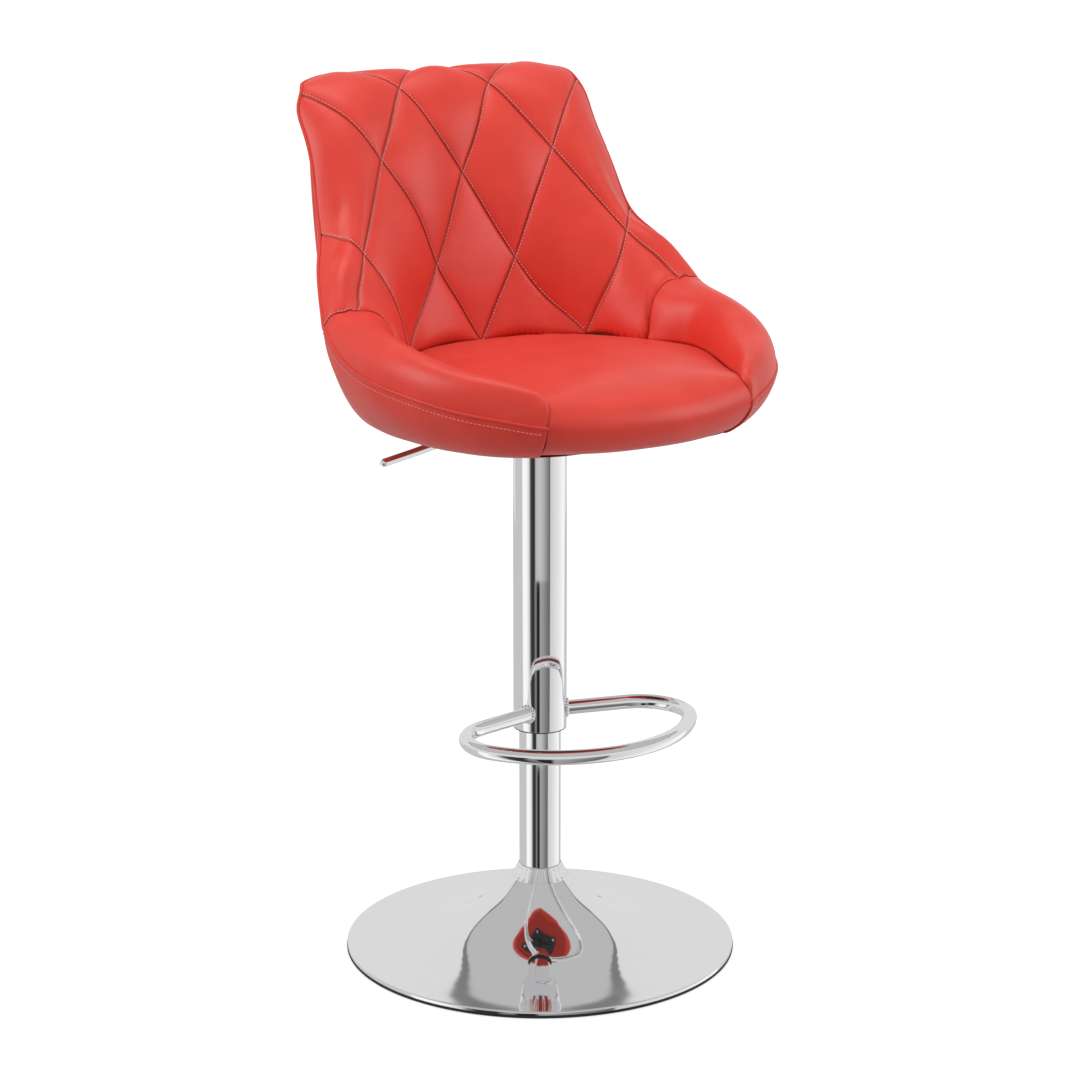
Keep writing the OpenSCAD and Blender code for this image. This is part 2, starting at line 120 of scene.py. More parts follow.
def lathe(name, profile, material, steps=160, sharp=35):
    """A solid of revolution about the column from (radius, height) points in order."""
    points = [p for radius, height in profile for p in ring(radius, height, steps)]
    return make_solid(name, points, grid_faces(len(profile), steps, True, True), material, sharp=sharp)


def tube_points(path, up, radii, sides):
    """Rings of points round a path."""
    path = np.asarray(path, float)
    tangent = np.gradient(path, axis=0)
    tangent /= np.linalg.norm(tangent, axis=1)[:, None]
    side = np.cross(tangent, np.broadcast_to(np.asarray(up, float), path.shape))
    side /= np.linalg.norm(side, axis=1)[:, None]
    rise = np.cross(side, tangent)
    angles = np.linspace(0, 2 * math.pi, sides, endpoint=False)
    radii = np.broadcast_to(np.asarray(radii, float), (len(path),))
    rings = [p + r * (np.cos(angles)[:, None] * s + np.sin(angles)[:, None] * u)
             for p, r, s, u in zip(path, radii, side, rise)]
    return np.concatenate(rings)


def tube(name, path, up, radius, material, sides=32, ends="round"):
    """A rod swept along a path, with rounded or flat closed ends."""
    path = np.asarray(path, float)
    radii = np.full(len(path), float(radius))
    if ends == "round":
        head, tail = path[0] - path[1], path[-1] - path[-2]
        head, tail = head / np.linalg.norm(head), tail / np.linalg.norm(tail)
        turns = np.radians([80, 62, 42, 20])
        before = [path[0] + head * radius * math.sin(a) for a in turns]
        after = [path[-1] + tail * radius * math.sin(a) for a in turns[::-1]]
        caps = radius * np.cos(turns)
        if np.ndim(up) > 1:
            up = np.concatenate([up[:1]] * len(turns) + [up] + [up[-1:]] * len(turns))
        path = np.concatenate([before, path, after])
        radii = np.concatenate([caps, radii, caps[::-1]])
    points = tube_points(path, up, radii, sides)
    faces = grid_faces(len(path), sides, around=True)
    faces.append(tuple(range(sides - 1, -1, -1)))
    faces.append(tuple(range((len(path) - 1) * sides, len(path) * sides)))
    return make_solid(name, points, faces, material, sharp=60)


def distances(points):
    """Distance along a line of points at each of them."""
    return np.concatenate([[0], np.cumsum(np.linalg.norm(np.diff(points, axis=0), axis=1))])


def line_at(points, run, spots):
    """Points of a line at the spots, measured the way run measures the line's own points."""
    return np.stack([np.interp(spots, run, points[:, k]) for k in range(points.shape[1])], axis=1)


def evenly(points, count):
    """The same line as a number of points spaced evenly along it."""
    run = distances(points)
    return line_at(points, run, np.linspace(0, run[-1], count))


def spline(knots, count):
    """Points of a smooth curve through knots, evenly spaced along it."""
    knots = np.asarray(knots, float)
    where = distances(knots)
    return evenly(cubic(where, knots, np.linspace(0, where[-1], 40 * len(knots))), count)


def cubic(where, values, at):
    """A natural cubic spline through values at the places where."""
    where, values, at = np.asarray(where, float), np.asarray(values, float), np.asarray(at, float)
    values = values.reshape(len(where), -1)
    n = len(where)
    gap = np.diff(where)
    matrix, right = np.zeros((n, n)), np.zeros((n, values.shape[1]))
    matrix[0, 0] = matrix[-1, -1] = 1
    for i in range(1, n - 1):
        matrix[i, i - 1:i + 2] = gap[i - 1], 2 * (gap[i - 1] + gap[i]), gap[i]
        right[i] = 6 * ((values[i + 1] - values[i]) / gap[i] - (values[i] - values[i - 1]) / gap[i - 1])
    bend = np.linalg.solve(matrix, right)
    k = np.clip(np.searchsorted(where, at, side="right") - 1, 0, n - 2)
    h = gap[k][:, None]
    left, ahead = (at - where[k])[:, None], (where[k + 1] - at)[:, None]
    return (bend[k] * ahead ** 3 + bend[k + 1] * left ** 3) / (6 * h) \
        + (values[k] / h - bend[k] * h / 6) * ahead + (values[k + 1] / h - bend[k + 1] * h / 6) * left


def surface_through(places, values):
    """A smooth surface through values given at scattered places of a plane."""
    places, values = np.asarray(places, float), np.asarray(values, float)
    n = len(places)

    def near(where):
        return np.linalg.norm(where[:, None] - places[None], axis=2) ** 3

    def flat(where):
        return np.concatenate([np.ones((len(where), 1)), where], axis=1)

    matrix = np.block([[near(places), flat(places)], [flat(places).T, np.zeros((3, 3))]])
    weights = np.linalg.solve(matrix, np.concatenate([values, np.zeros((3, values.shape[1]))]))

    def at(where):
        where = np.asarray(where, float)
        return near(where) @ weights[:n] + flat(where) @ weights[n:]

    return at


# ---------------------------------------------------------------- seat shape, millimetres, +X half

# The quilted back in lattice steps: seams run where across + up or across - up is an even number.
# (across, up, x, y, z)
BACK = [
    (0, 0, 0, 112, 594), (1, 0, 52, 103, 595), (2, 0, 99.5, 76.5, 597), (2.5, 0, 118, 52, 596),
    (3, 0, 134.5, 21, 594), (3.32, 0, 141.7, 25, 619.4), (3.56, 0, 149, 27.5, 637.2),
    (3.78, 0, 162.3, 30, 648.6), (4, 0, 180, 32, 651), (4.25, 0.25, 190.5, 32, 651.8),
    (4.5, 0.5, 199.5, 32.5, 651), (4.8, 0.8, 207.5, 35.5, 645.5), (5, 1, 211, 38.5, 638),
    (0.5, 0.5, 22, 118.4, 632), (1.5, 0.5, 71.8, 105.4, 630.3), (2.5, 0.5, 121, 67, 648),
    (3.5, 0.5, 164.3, 54.4, 673.6), (3.75, 0.25, 172.4, 42.5, 661.6),
    (1, 1, 44.2, 122.2, 671.7), (3, 1, 147.2, 78.4, 695.8),
    (0.5, 1.5, 22, 136, 713.5), (1.5, 1.5, 66.5, 124.1, 725), (2.5, 1.5, 121.8, 108.3, 734.8),
    (3.5, 1.5, 160, 95.5, 708.5), (4.31, 1.69, 189, 90, 689), (4.58, 1.42, 199.5, 68.5, 670),
    (0, 2, 0, 148.6, 755.7), (2, 2, 96.1, 136.8, 774.8), (4, 2, 174.5, 115, 711.5),
    (0.5, 2.5, 24.8, 160.7, 798), (1.5, 2.5, 72.7, 159.5, 807.9), (2.5, 2.5, 124, 155, 815),
    (3.75, 2.25, 169, 132, 742), (3.49, 2.51, 164, 149.5, 775), (3.24, 2.76, 162, 170, 805),
    (3.08, 2.92, 160.5, 183, 826),
    (1, 3, 50.4, 183.4, 837), (3, 3, 155.5, 187.5, 835.5), (2.83, 3.17, 150, 196, 843.5),
    (2.5, 3.5, 134, 208, 847.5),
    (0, 3.5, 0, 206, 849), (1, 3.5, 54, 206, 848.5), (1.8, 3.5, 100, 205, 851),
    (0, 4, 0, 225, 842), (1, 4, 52, 225, 843), (2, 4, 104, 223, 848.5),
]
# Seams and crest of the +X bolster from the back to the front corner:
# (share of its length, crease x, y, z, crest x, y, z, rim x, y, z)
BOLSTER = [
    (0.00, 134.5, 21, 594, 180, 32, 651, 211, 38.5, 638),
    (0.08, 142, 8, 594.8, 184, 12, 649, 213, 14, 622),
    (0.17, 153.6, -7, 595, 187, -14, 645.5, 214, -15, 611),
    (0.28, 159, -27, 594.5, 187, -47, 640, 213.5, -45, 605),
    (0.42, 149, -71, 594.5, 182, -88, 631, 207, -80, 599.2),
    (0.60, 131, -126, 592.5, 166, -126, 621, 186, -126.4, 590.3),
    (0.72, 118.5, -156, 593.5, 145, -153, 615, 164, -153, 584),
    (0.81, 109, -173, 596.5, 125, -172.5, 609, 143, -171.5, 580),
    (0.87, 105, -182, 597, 115, -183, 603.8, 131, -180, 577.5),
    (0.92, 104.8, -188.3, 593.3, 110.5, -189.8, 598, 122, -186.5, 575.8),
    (0.96, 106.8, -193, 587.5, 110, -194.3, 591, 115.8, -191.6, 574.8),
    (1.00, 109.8, -195.2, 576.5, 110.1, -195.7, 577, 110.6, -195.4, 574.2),
]
# Seat cushion from the rear crease forward and under: (y, z) on the centre line and (x, y, z) at its side
CUSHION_CENTRE = [(112, 593), (98, 598.5), (70, 601.5), (20, 604.5), (-50, 606.5), (-115, 606.5), (-165, 603),
                  (-191, 595), (-206.5, 583), (-212.5, 569), (-208, 555), (-195, 544.5), (-178, 541.2),
                  (-158, 541)]
CUSHION_SIDE = [(134.5, 21, 594), (142, 8, 594.8), (153.6, -7, 595), (159, -27, 594.5), (149, -71, 594.5),
                (128, -133, 592.6), (106.5, -178, 597.2), (104.8, -188.3, 593.3), (107.6, -194, 585),
                (110, -195.3, 574), (108, -190, 562), (105, -181, 552), (102, -170, 545), (95, -156, 541.5)]
# Where the outer cover turns under, opposite points of the rim: (rim x, y, z, sole x, y, bulge)
SOLE = [(0, 225, 848, 0, 130, 44), (40, 225, 848, 30, 129, 44), (80, 225, 848, 60, 126, 44),
        (120, 219, 847, 100, 117, 44), (150, 196, 839, 130, 99, 43), (164, 170, 812, 148, 76, 42),
        (171, 149, 778, 156, 56, 41), (172, 132, 742, 160, 40, 42), (173, 117, 711, 162, 26, 44),
        (190, 80, 689, 163.5, 12, 45), (201, 57, 669.5, 164, 0, 45), (207, 45, 654, 164.5, -12, 44),
        (211, 38.5, 638, 165, -24, 42), (213, 6, 617, 164, -44, 36), (214, -30, 609, 162, -66, 30),
        (208, -75, 600, 158, -92, 23), (186, -128, 590, 144, -124, 15), (150, -167, 581, 124, -149, 9),
        (110, -195.5, 574, 101, -166, 8)]
SOLE_Z = 541
# The seat's middle, from which its skin faces away
SEAT_MIDDLE = 10
# How the outer cover leans back, narrows under the top corners and tucks under the seat board
SHELL_LEAN, SHELL_NARROW, SHELL_TUCK = 0.056, 10, (4, 9, 15)
# Mesh lines per lattice step, how strongly they draw together at the seams, and the seams' width in steps
QUILT_STEPS, DRAWN_TOGETHER, SEAM_WIDTH = 28, 0.62, 0.028
# Swell of the padding in millimetres, depth of its seams, and the power that squares its domes off
PUFF, GROOVE, DOME = 8.0, 1.0, 0.55
# Lattice height of the back's top edge, where the swell fades at bottom, top and wings, and its low share
TOP_STEP, BOTTOM_FADE, TOP_FADE, WING_FROM, LOW_SWELL = 4, 0.22, 0.3, 4.2, 0.72
# Thickness of a leather piece at its border
EDGE_DEPTH = 1.2
BOLTS_AT = (-65, 65)
LINING_STEP = 7.0
# Air pressure and length of the cloth simulation, and how far it may move a point, in millimetres
CLOTH_PRESSURE, CLOTH_FRAMES, CLOTH_CAP = 4.0, 20, 2.5


def both_sides(rows):
    """Rows of (across, up, x, y, z) with their mirror images; a row on the centre line is kept once."""
    out = []
    for row in rows:
        out.append(row)
        if row[0] > 0:
            out.append(tuple(-v if k in (0, 2) else v for k, v in enumerate(row)))
    return out


QUILT = both_sides(BACK)
back_base = surface_through([r[:2] for r in QUILT], [r[2:] for r in QUILT])


def unit(v):
    return v / np.maximum(np.linalg.norm(v, axis=-1, keepdims=True), 1e-9)


def outward(points):
    """Level direction away from the middle of the seat."""
    return unit(points * [1, 1, 0] - [0, SEAT_MIDDLE, 0])


def back_normal(where):
    """The back's outward direction at lattice places."""
    step = 0.02
    right = back_base(where + [step, 0]) - back_base(where - [step, 0])
    up = back_base(where + [0, step]) - back_base(where - [0, step])
    return unit(np.cross(right, up))


def graded(k, steps):
    """Places of a step count with the steps drawn together at whole numbers."""
    x = np.asarray(k, float) / steps
    return x - DRAWN_TOGETHER * np.sin(2 * math.pi * x) / (2 * math.pi)


def seam_gap(p, q):
    """Distance to the nearest quilting seam, in lattice steps."""
    return np.minimum(np.abs(p - np.round(p)), np.abs(q - np.round(q)))


def seam_share(p, q):
    """1 on a quilting seam, falling to 0 a couple of millimetres away from it."""
    return np.clip(1 - seam_gap(p, q) / SEAM_WIDTH, 0, 1) ** 1.5


def quilt_swell(p, q):
    """How far the padding stands off the seams' own surface at lattice places."""
    a, b = p - np.floor(p + 1e-9), q - np.floor(q + 1e-9)
    dome = np.maximum(4 * a * (1 - a), 0) ** DOME * np.maximum(4 * b * (1 - b), 0) ** DOME
    across, up = np.abs(p + q), p - q
    bottom = np.clip(up / BOTTOM_FADE, 0, 1)
    top = np.clip((TOP_STEP - up) / TOP_FADE, 0, 1)
    wing = 1 - np.clip(across + up - WING_FROM, 0, 1) * (0.5 + 0.4 * np.clip((2.4 - up) / 0.6, 0, 1))
    low = LOW_SWELL + (1 - LOW_SWELL) * np.clip(up / 1.2, 0, 1)
    swell = PUFF * dome * wing * low * np.sqrt(bottom * (2 - bottom)) * np.sqrt(top * (2 - top))
    return swell - GROOVE * seam_share(p, q)


def quilt_mesh():
    """Lattice places and faces of the quilted back, cut to its outline."""
    n = QUILT_STEPS
    index, places, faces = {}, [], []

    def at(i, j):
        if (i, j) not in index:
            index[i, j] = len(places)
            places.append((graded(i, n), graded(j, n)))
        return index[i, j]

    for i in range(-2 * n, 3 * n):
        for j in range(-3 * n, 2 * n):
            d = i - j
            if 0 < d < TOP_STEP * n:
                faces.append((at(i, j), at(i + 1, j), at(i + 1, j + 1), at(i, j + 1)))
            elif d == 0:
                faces.append((at(i, j), at(i + 1, j), at(i + 1, j + 1)))
            elif d == TOP_STEP * n:
                faces.append((at(i, j), at(i + 1, j + 1), at(i, j + 1)))
    p, q = np.array(places).T
    return np.stack([p + q, p - q], axis=1), p, q, faces


def edge_loops(faces):
    """Directed edges that only one face has."""
    seen = {}
    for f in faces:
        for a, b in zip(f, f[1:] + f[:1]):
            seen[a, b] = True
    return [(a, b) for a, b in seen if (b, a) not in seen]


def border_gap(points, faces):
    """How far each point of an open sheet lies from its border."""
    border = points[sorted({k for e in edge_loops(faces) for k in e})]
    parts = [points[k:k + 4000, None] - border[None] for k in range(0, len(points), 4000)]
    return np.concatenate([np.linalg.norm(part, axis=2).min(axis=1) for part in parts])


def between(outer, inner, faces):
    """Points and faces of the closed form between an open sheet and its copy behind it."""
    n = len(outer)
    walls = [(b, a, n + a, n + b) for a, b in edge_loops(faces)]
    return np.concatenate([outer, inner]), faces + shifted_faces(reversed_faces(faces), n) + walls


def border_share(points, faces, width):
    """1 on the border of an open sheet, falling to 0 at a width from it."""
    return np.clip(1 - border_gap(points, faces) / width, 0, 1) ** 1.5


def paint_seam_shade(obj, shares):
    """Stores how deep in a seam each point lies, for the leather to darken by as painted shade in the seam's
    crease.
    """
    layer = obj.data.attributes.new("seam", "FLOAT", "POINT")
    values = np.zeros(len(obj.data.vertices))
    values[:len(shares)] = shares
    layer.data.foreach_set("value", values)


def sheet_normals(points, faces):
    """Unit normals at the points of an open sheet."""
    normals = np.zeros_like(points)
    for f in faces:
        a, b, c = points[f[0]], points[f[1]], points[f[2]]
        normals[list(f)] += np.cross(c - a, points[f[3]] - b) if len(f) == 4 else np.cross(b - a, c - a)
    return unit(normals)


def faced_sheet(points, faces, sample, axis):
    """Points, faces and normals of an open sheet, turned so that the sampled normal grows along the axis."""
    normals = sheet_normals(points, faces)
    if normals[sample][axis] < 0:
        return points, reversed_faces(faces), -normals
    return points, faces, normals


BOLSTER_STEPS = 121
BOLSTER_SHARES = np.linspace(0, 1, BOLSTER_STEPS)
# Crease, crest and rim of the bolster
BOLSTER_LINES = [cubic([r[0] for r in BOLSTER], [r[k:k + 3] for r in BOLSTER], BOLSTER_SHARES)
                 for k in (1, 4, 7)]


def bolster_section(w, turns):
    """Points across the bolster at share w of its length, from crease over crest to rim."""
    a, b, c = (line_at(line, BOLSTER_SHARES, [w])[0] for line in BOLSTER_LINES)
    out = []
    for turn in turns:
        angle = math.pi * turn
        if turn <= 0.5:
            start, end, flat, rise = a, b, 1 - math.cos(angle), math.sin(angle)
        else:
            start, end, flat, rise = b, c, -math.cos(angle), 1 - math.sin(angle)
        out.append((*(start[:2] + (end - start)[:2] * flat), start[2] + (end - start)[2] * rise))
    return np.array(out)


def along_line(points):
    """Distance along a line of points at each of them, as a share of its length."""
    run = distances(points)
    return run / run[-1]


def bolster_sheet(side):
    """Open sheet over the top of one bolster; its rear edge follows the back's lowest seam."""
    rows, cols, tip_rows, tip_from = 120, 44, 30, 0.86
    along = np.concatenate([np.linspace(0, 1, rows - tip_rows) ** 1.3 * tip_from,
                            tip_from + (1 - tip_from) * np.linspace(0, 1, tip_rows + 1)[1:]])
    points = np.array([bolster_section(w, np.linspace(0, 1, cols)) for w in along])
    steps = np.linspace(0, 1, 60)
    seam = back_base(np.array([(3 + k, 0) for k in steps] + [(4 + k, k) for k in steps[1:]]))
    start = line_at(seam, along_line(seam), along_line(points[0]))
    fade = np.clip(1 - along / 0.2, 0, 1) ** 2
    points = points + fade[:, None, None] * (start - points[0])[None]
    points, faces, normals = faced_sheet(points.reshape(-1, 3), grid_faces(rows, cols),
                                         rows // 2 * cols + cols // 2, 2)
    if side < 0:
        return points * [-1, 1, 1], reversed_faces(faces), normals * [-1, 1, 1]
    return points, faces, normals


def cushion_sheet():
    """Open sheet over the top, front and turned-under edge of the seat cushion."""
    rows, cols, fine = 110, 90, 400
    knots = np.array([(0, *p) for p in CUSHION_CENTRE], float)
    centre = spline(knots, fine)
    where = np.array([np.argmin(np.linalg.norm(centre - k, axis=1)) for k in knots]) / (fine - 1)
    at = np.linspace(0, 1, rows)
    sides = cubic(where, CUSHION_SIDE, at)
    mids = cubic(where, knots, at)
    nearly = math.pi / 2 * 0.96
    across = np.sin(np.linspace(-1, 1, cols) * nearly) / math.sin(nearly)
    points = []
    for v, c, e in zip(at, mids, sides):
        pull = 2.9 - 0.9 * min(1, v / 0.2)
        crown = 3.0 + 1.2 * math.sin(math.pi * min(1, v / 0.8))
        for t in across:
            s = abs(t)
            points.append((e[0] * t, c[1] + (e[1] - c[1]) * s ** pull, c[2] + (e[2] - c[2]) * s ** crown))
    return faced_sheet(np.array(points), grid_faces(rows, cols), rows // 3 * cols + cols // 2, 2)


def rim_line(count=260):
    """The rim seam of the +X half from the middle of the top edge to the front corner."""
    top = [(s, 4) for s in np.linspace(0, 2, 30)]
    wing = [(2 + k, 4 - k) for k in np.linspace(0, 3, 60)[1:]]
    return evenly(np.concatenate([back_base(np.array(top + wing)), BOLSTER_LINES[2][1:]]), count)


RIM = rim_line()


def shell_columns():
    """Lines of the outer cover from the rim seam down to where it is tucked under the seat board."""
    places = [int(np.argmin(np.linalg.norm(RIM - np.array(r[:3]), axis=1))) for r in SOLE]
    places[0], places[-1] = 0, len(RIM) - 1
    sole = cubic(places, [r[3:] for r in SOLE], np.arange(len(RIM)))
    steps = np.linspace(0, 1, 34)[:, None]
    columns = []
    for top, (x, y, bulge) in zip(RIM, sole):
        foot = np.array([x, y, SOLE_Z])
        out = foot - [0, SEAT_MIDDLE, SOLE_Z]
        out /= max(1, np.linalg.norm(out))
        fall = top[2] - SOLE_Z
        lean = np.array([0, SHELL_LEAN * max(0, foot[1] - 40) / 90 * fall, 0])
        b, c = top - [0, 0, 0.45 * fall] - lean, foot + out * bulge + [0, 0, 0.06 * fall]
        line = top * (1 - steps) ** 3 + 3 * b * steps * (1 - steps) ** 2 \
            + 3 * c * steps ** 2 * (1 - steps) + foot * steps ** 3
        narrow = SHELL_NARROW * np.clip((top[2] - 745) / 40, 0, 1) * min(1, top[0] / 120)
        line = line - np.array([1, 0, 0]) * narrow * (np.clip(steps / 0.1, 0, 1) ** 0.8 * (1 - steps) ** 0.7)
        columns.append(np.concatenate([line, [foot - out * k for k in SHELL_TUCK]]))
    return np.array(columns)


def shell_sheet():
    """Open sheet of the whole outer cover, both halves."""
    half = shell_columns()
    columns = np.concatenate([half[:0:-1] * [-1, 1, 1], half])
    rows, cols = columns.shape[:2]
    return faced_sheet(columns.reshape(-1, 3), grid_faces(rows, cols), rows // 2 * cols + 12, 1)


# ---------------------------------------------------------------- materials

class Shading:
    """The nodes of one material or of the world, with short calls for what repeats."""

    def __init__(self, tree):
        self.nodes, self.links = tree.nodes, tree.links
        self.surface = tree.nodes.get("Principled BSDF")

    def join(self, socket, value):
        """Links an input to another node, or sets it to a number, a colour or a vector."""
        if isinstance(value, bpy.types.NodeSocket):
            self.links.new(value, socket)
        else:
            socket.default_value = value

    def feed(self, node, **values):
        """Joins a node's inputs by name."""
        for key, value in values.items():
            self.join(node.inputs[key.replace("_", " ")], value)
        return node

    def add(self, kind, **values):
        """A new node with its inputs joined by name."""
        return self.feed(self.nodes.new(kind), **values)

    def place(self):
        """Where on the object a point lies."""
        return self.add("ShaderNodeTexCoord").outputs["Object"]

    def noise(self, place_in, scale, detail, roughness, **values):
        node = self.add("ShaderNodeTexNoise", Vector=place_in, Scale=scale, Detail=detail,
                        Roughness=roughness, **values)
        return node.outputs["Fac"]

    def calc(self, operation, *values):
        """A math node over one to three numbers or sockets."""
        node = self.nodes.new("ShaderNodeMath")
        node.operation = operation
        for socket, value in zip(node.inputs, values):
            self.join(socket, value)
        return node.outputs[0]

    def mix(self, factor, low, high):
        """A colour between two, by a factor."""
        node = self.nodes.new("ShaderNodeMix")
        node.data_type = "RGBA"
        for key, value in (("Factor", factor), ("A", low), ("B", high)):
            self.join(node.inputs[key], (*value, 1) if isinstance(value, tuple) else value)
        return node.outputs["Result"]

    def span(self, source, low, high, start=0.0, end=1.0):
        """The source mapped from start..end onto low..high."""
        node = self.add("ShaderNodeMapRange", Value=source, From_Min=start, From_Max=end,
                        To_Min=low, To_Max=high)
        return node.outputs["Result"]

    def bump(self, height, strength, distance, before=None):
        """Relief on the surface, over the relief before."""
        node = self.add("ShaderNodeBump", Height=height, Strength=strength, Distance=distance)
        if before is not None:
            self.feed(node, Normal=before)
        self.feed(self.surface, Normal=node.outputs["Normal"])
        return node.outputs["Normal"]

    def steps(self, source, stops):
        """A colour ramp through grey stops given as (place, brightness)."""
        ramp = self.nodes.new("ShaderNodeValToRGB")
        self.join(ramp.inputs["Fac"], source)
        elements = ramp.color_ramp.elements
        while len(elements) > 1:
            elements.remove(elements[-1])
        for k, (where, grey) in enumerate(stops):
            element = elements[0] if k == 0 else elements.new(where)
            element.position = where
            element.color = (grey, grey, grey, 1)
        return ramp.outputs["Color"]


def new_material(name, color, roughness=0.5, metallic=0.0, **values):
    """A Principled material and its nodes."""
    material = bpy.data.materials.new(name)
    material.use_nodes = True
    kit = Shading(material.node_tree)
    kit.feed(kit.surface, Base_Color=(*color, 1), Roughness=roughness, Metallic=metallic, **values)
    return material, kit


# Painted shade in the leather's seam creases: the colour the leather darkens to there
SEAM_SHADE_COLOR = (0.40, 0.018, 0.012)


def leather_material(name, low, high, roughness=0.36):
    """Fine-grained leather: pebbled cells, soft creases, a slight change of colour and painted shade in the
    seams.
    """
    material, kit = new_material(name, high, roughness, Specular_IOR_Level=0.40, Sheen_Weight=0.05,
                                 Sheen_Roughness=0.45, Sheen_Tint=(1.0, 0.62, 0.58, 1))
    place_in = kit.place()
    cells = kit.add("ShaderNodeTexVoronoi", Vector=place_in, Scale=900.0, Randomness=0.9)
    fine = kit.noise(place_in, 1500.0, 4.0, 0.6)
    broad = kit.noise(place_in, 26.0, 3.0, 0.5)
    pebbles = kit.bump(cells.outputs["Distance"], 0.22, 0.0004)
    grain = kit.bump(fine, 0.12, 0.0002, pebbles)
    kit.bump(broad, 0.10, 0.004, grain)
    plain = kit.mix(kit.span(broad, 0, 1, 0.3, 0.7), low, high)
    # Painted shade: the leather's colour darkens towards the seam shade colour by the stored seam depth
    seam = kit.nodes.new("ShaderNodeAttribute")
    seam.attribute_name = "seam"
    kit.feed(kit.surface, Base_Color=kit.mix(kit.span(seam.outputs["Fac"], 0, 0.7), plain, SEAM_SHADE_COLOR),
             Roughness=kit.span(fine, roughness - 0.06, roughness + 0.08))
    return material


def thread_material():
    """Pale red twisted thread."""
    material, kit = new_material("thread", (0.88, 0.38, 0.34))
    twist = kit.add("ShaderNodeTexWave", Vector=kit.place(), Scale=900.0, Distortion=1.0)
    kit.bump(twist.outputs["Fac"], 0.5, 0.0003)
    return material


def chrome_material(name, streaks=False):
    """Polished chrome with the faintest polishing haze, round the column where streaks is set."""
    material, kit = new_material(name, (0.93, 0.93, 0.94), 0.035, 1.0)
    place_in = kit.place()
    if streaks:
        parts = kit.add("ShaderNodeSeparateXYZ", Vector=place_in)
        spread = kit.add("ShaderNodeVectorMath")
        spread.operation = "LENGTH"
        kit.join(spread.inputs[0], place_in)
        turn = kit.calc("ARCTAN2", parts.outputs["Y"], parts.outputs["X"])
        ring_place = kit.add("ShaderNodeCombineXYZ", X=turn, Y=spread.outputs["Value"])
        haze = kit.noise(ring_place.outputs["Vector"], 9.0, 3.0, 0.55)
        kit.bump(haze, 0.012, 0.0006)
    else:
        haze = kit.noise(place_in, 70.0, 3.0, 0.55)
        kit.bump(haze, 0.02, 0.0004)
    kit.feed(kit.surface, Roughness=kit.span(haze, 0.02, 0.06))
    return material


def brushed_material(name, low, high, roughness, scale=240.0):
    """Plated or turned steel with fine grain and slight wear."""
    material, kit = new_material(name, high, roughness, 1.0)
    place_in = kit.place()
    grain = kit.noise(place_in, scale, 5.0, 0.6)
    wear = kit.noise(place_in, 60.0, 4.0, 0.6)
    kit.feed(kit.surface, Base_Color=kit.mix(wear, low, high),
             Roughness=kit.span(grain, roughness - 0.08, roughness + 0.12))
    kit.bump(grain, 0.15, 0.0002)
    return material


def powder_material(name, color, roughness=0.5, scale=1400.0, strength=0.25):
    """Moulded or powder-coated black with an orange-peel surface."""
    material, kit = new_material(name, color, roughness)
    place_in = kit.place()
    peel = kit.noise(place_in, scale, 3.0, 0.5)
    dust = kit.noise(place_in, 40.0, 3.0, 0.6)
    pale = tuple(min(1, c * 1.6 + 0.006) for c in color)
    kit.feed(kit.surface, Base_Color=kit.mix(kit.span(dust, 0, 1, 0.35, 0.75), color, pale),
             Roughness=kit.span(dust, roughness - 0.06, roughness + 0.1))
    kit.bump(peel, strength, 0.0003)
    return material


def plywood_material():
    """Birch plywood: stacked plies at the edges and long grain on the faces."""
    material, kit = new_material("plywood", (0.55, 0.37, 0.20), 0.62)
    stretch = kit.add("ShaderNodeMapping", Vector=kit.place(), Scale=(14.0, 1.6, 420.0))
    grain = kit.noise(stretch.outputs["Vector"], 6.0, 6.0, 0.6, Distortion=0.6)
    kit.feed(kit.surface, Base_Color=kit.mix(grain, (0.36, 0.21, 0.10), (0.68, 0.49, 0.29)))
    kit.bump(grain, 0.2, 0.0005)
    return material


def lining_material():
    """Red woven lining: crossing threads with small gaps and a little fluff."""
    material, kit = new_material("red_lining", (0.52, 0.05, 0.035), 0.85)
    place_in = kit.place()
    threads = []
    for direction in ("X", "Y"):
        wave = kit.add("ShaderNodeTexWave", Vector=place_in, Scale=260.0, Distortion=0.6, Detail=1.0)
        wave.bands_direction = direction
        threads.append(wave.outputs["Fac"])
    weave = kit.calc("MAXIMUM", *threads)
    fluff = kit.noise(place_in, 700.0, 6.0, 0.75)
    kit.bump(fluff, 0.4, 0.0003, kit.bump(weave, 0.6, 0.0004))
    kit.feed(kit.surface, Base_Color=kit.mix(weave, (0.36, 0.028, 0.02), (0.56, 0.055, 0.038)))
    return material


LEATHER = leather_material("red_leather", (0.69, 0.040, 0.024), (0.76, 0.050, 0.031))
PIPING = leather_material("piping_leather", (0.62, 0.034, 0.021), (0.70, 0.043, 0.027), 0.38)
THREAD = thread_material()
CHROME = chrome_material("chrome")
BASE_CHROME = chrome_material("base_chrome", streaks=True)
STEEL = brushed_material("steel", (0.30, 0.30, 0.31), (0.46, 0.46, 0.47), 0.38)
ZINC = brushed_material("zinc", (0.52, 0.53, 0.55), (0.70, 0.70, 0.71), 0.32, 420.0)
BEARING = brushed_material("bearing_steel", (0.55, 0.55, 0.56), (0.72, 0.72, 0.72), 0.16, 600.0)
RUBBER = powder_material("rubber", (0.012, 0.012, 0.012), 0.62, 900.0, 0.3)
PLASTIC = powder_material("black_plastic", (0.016, 0.016, 0.017), 0.42)
PAINT = powder_material("black_paint", (0.014, 0.014, 0.015), 0.36, 700.0, 0.35)
PLYWOOD = plywood_material()
LINING = lining_material()

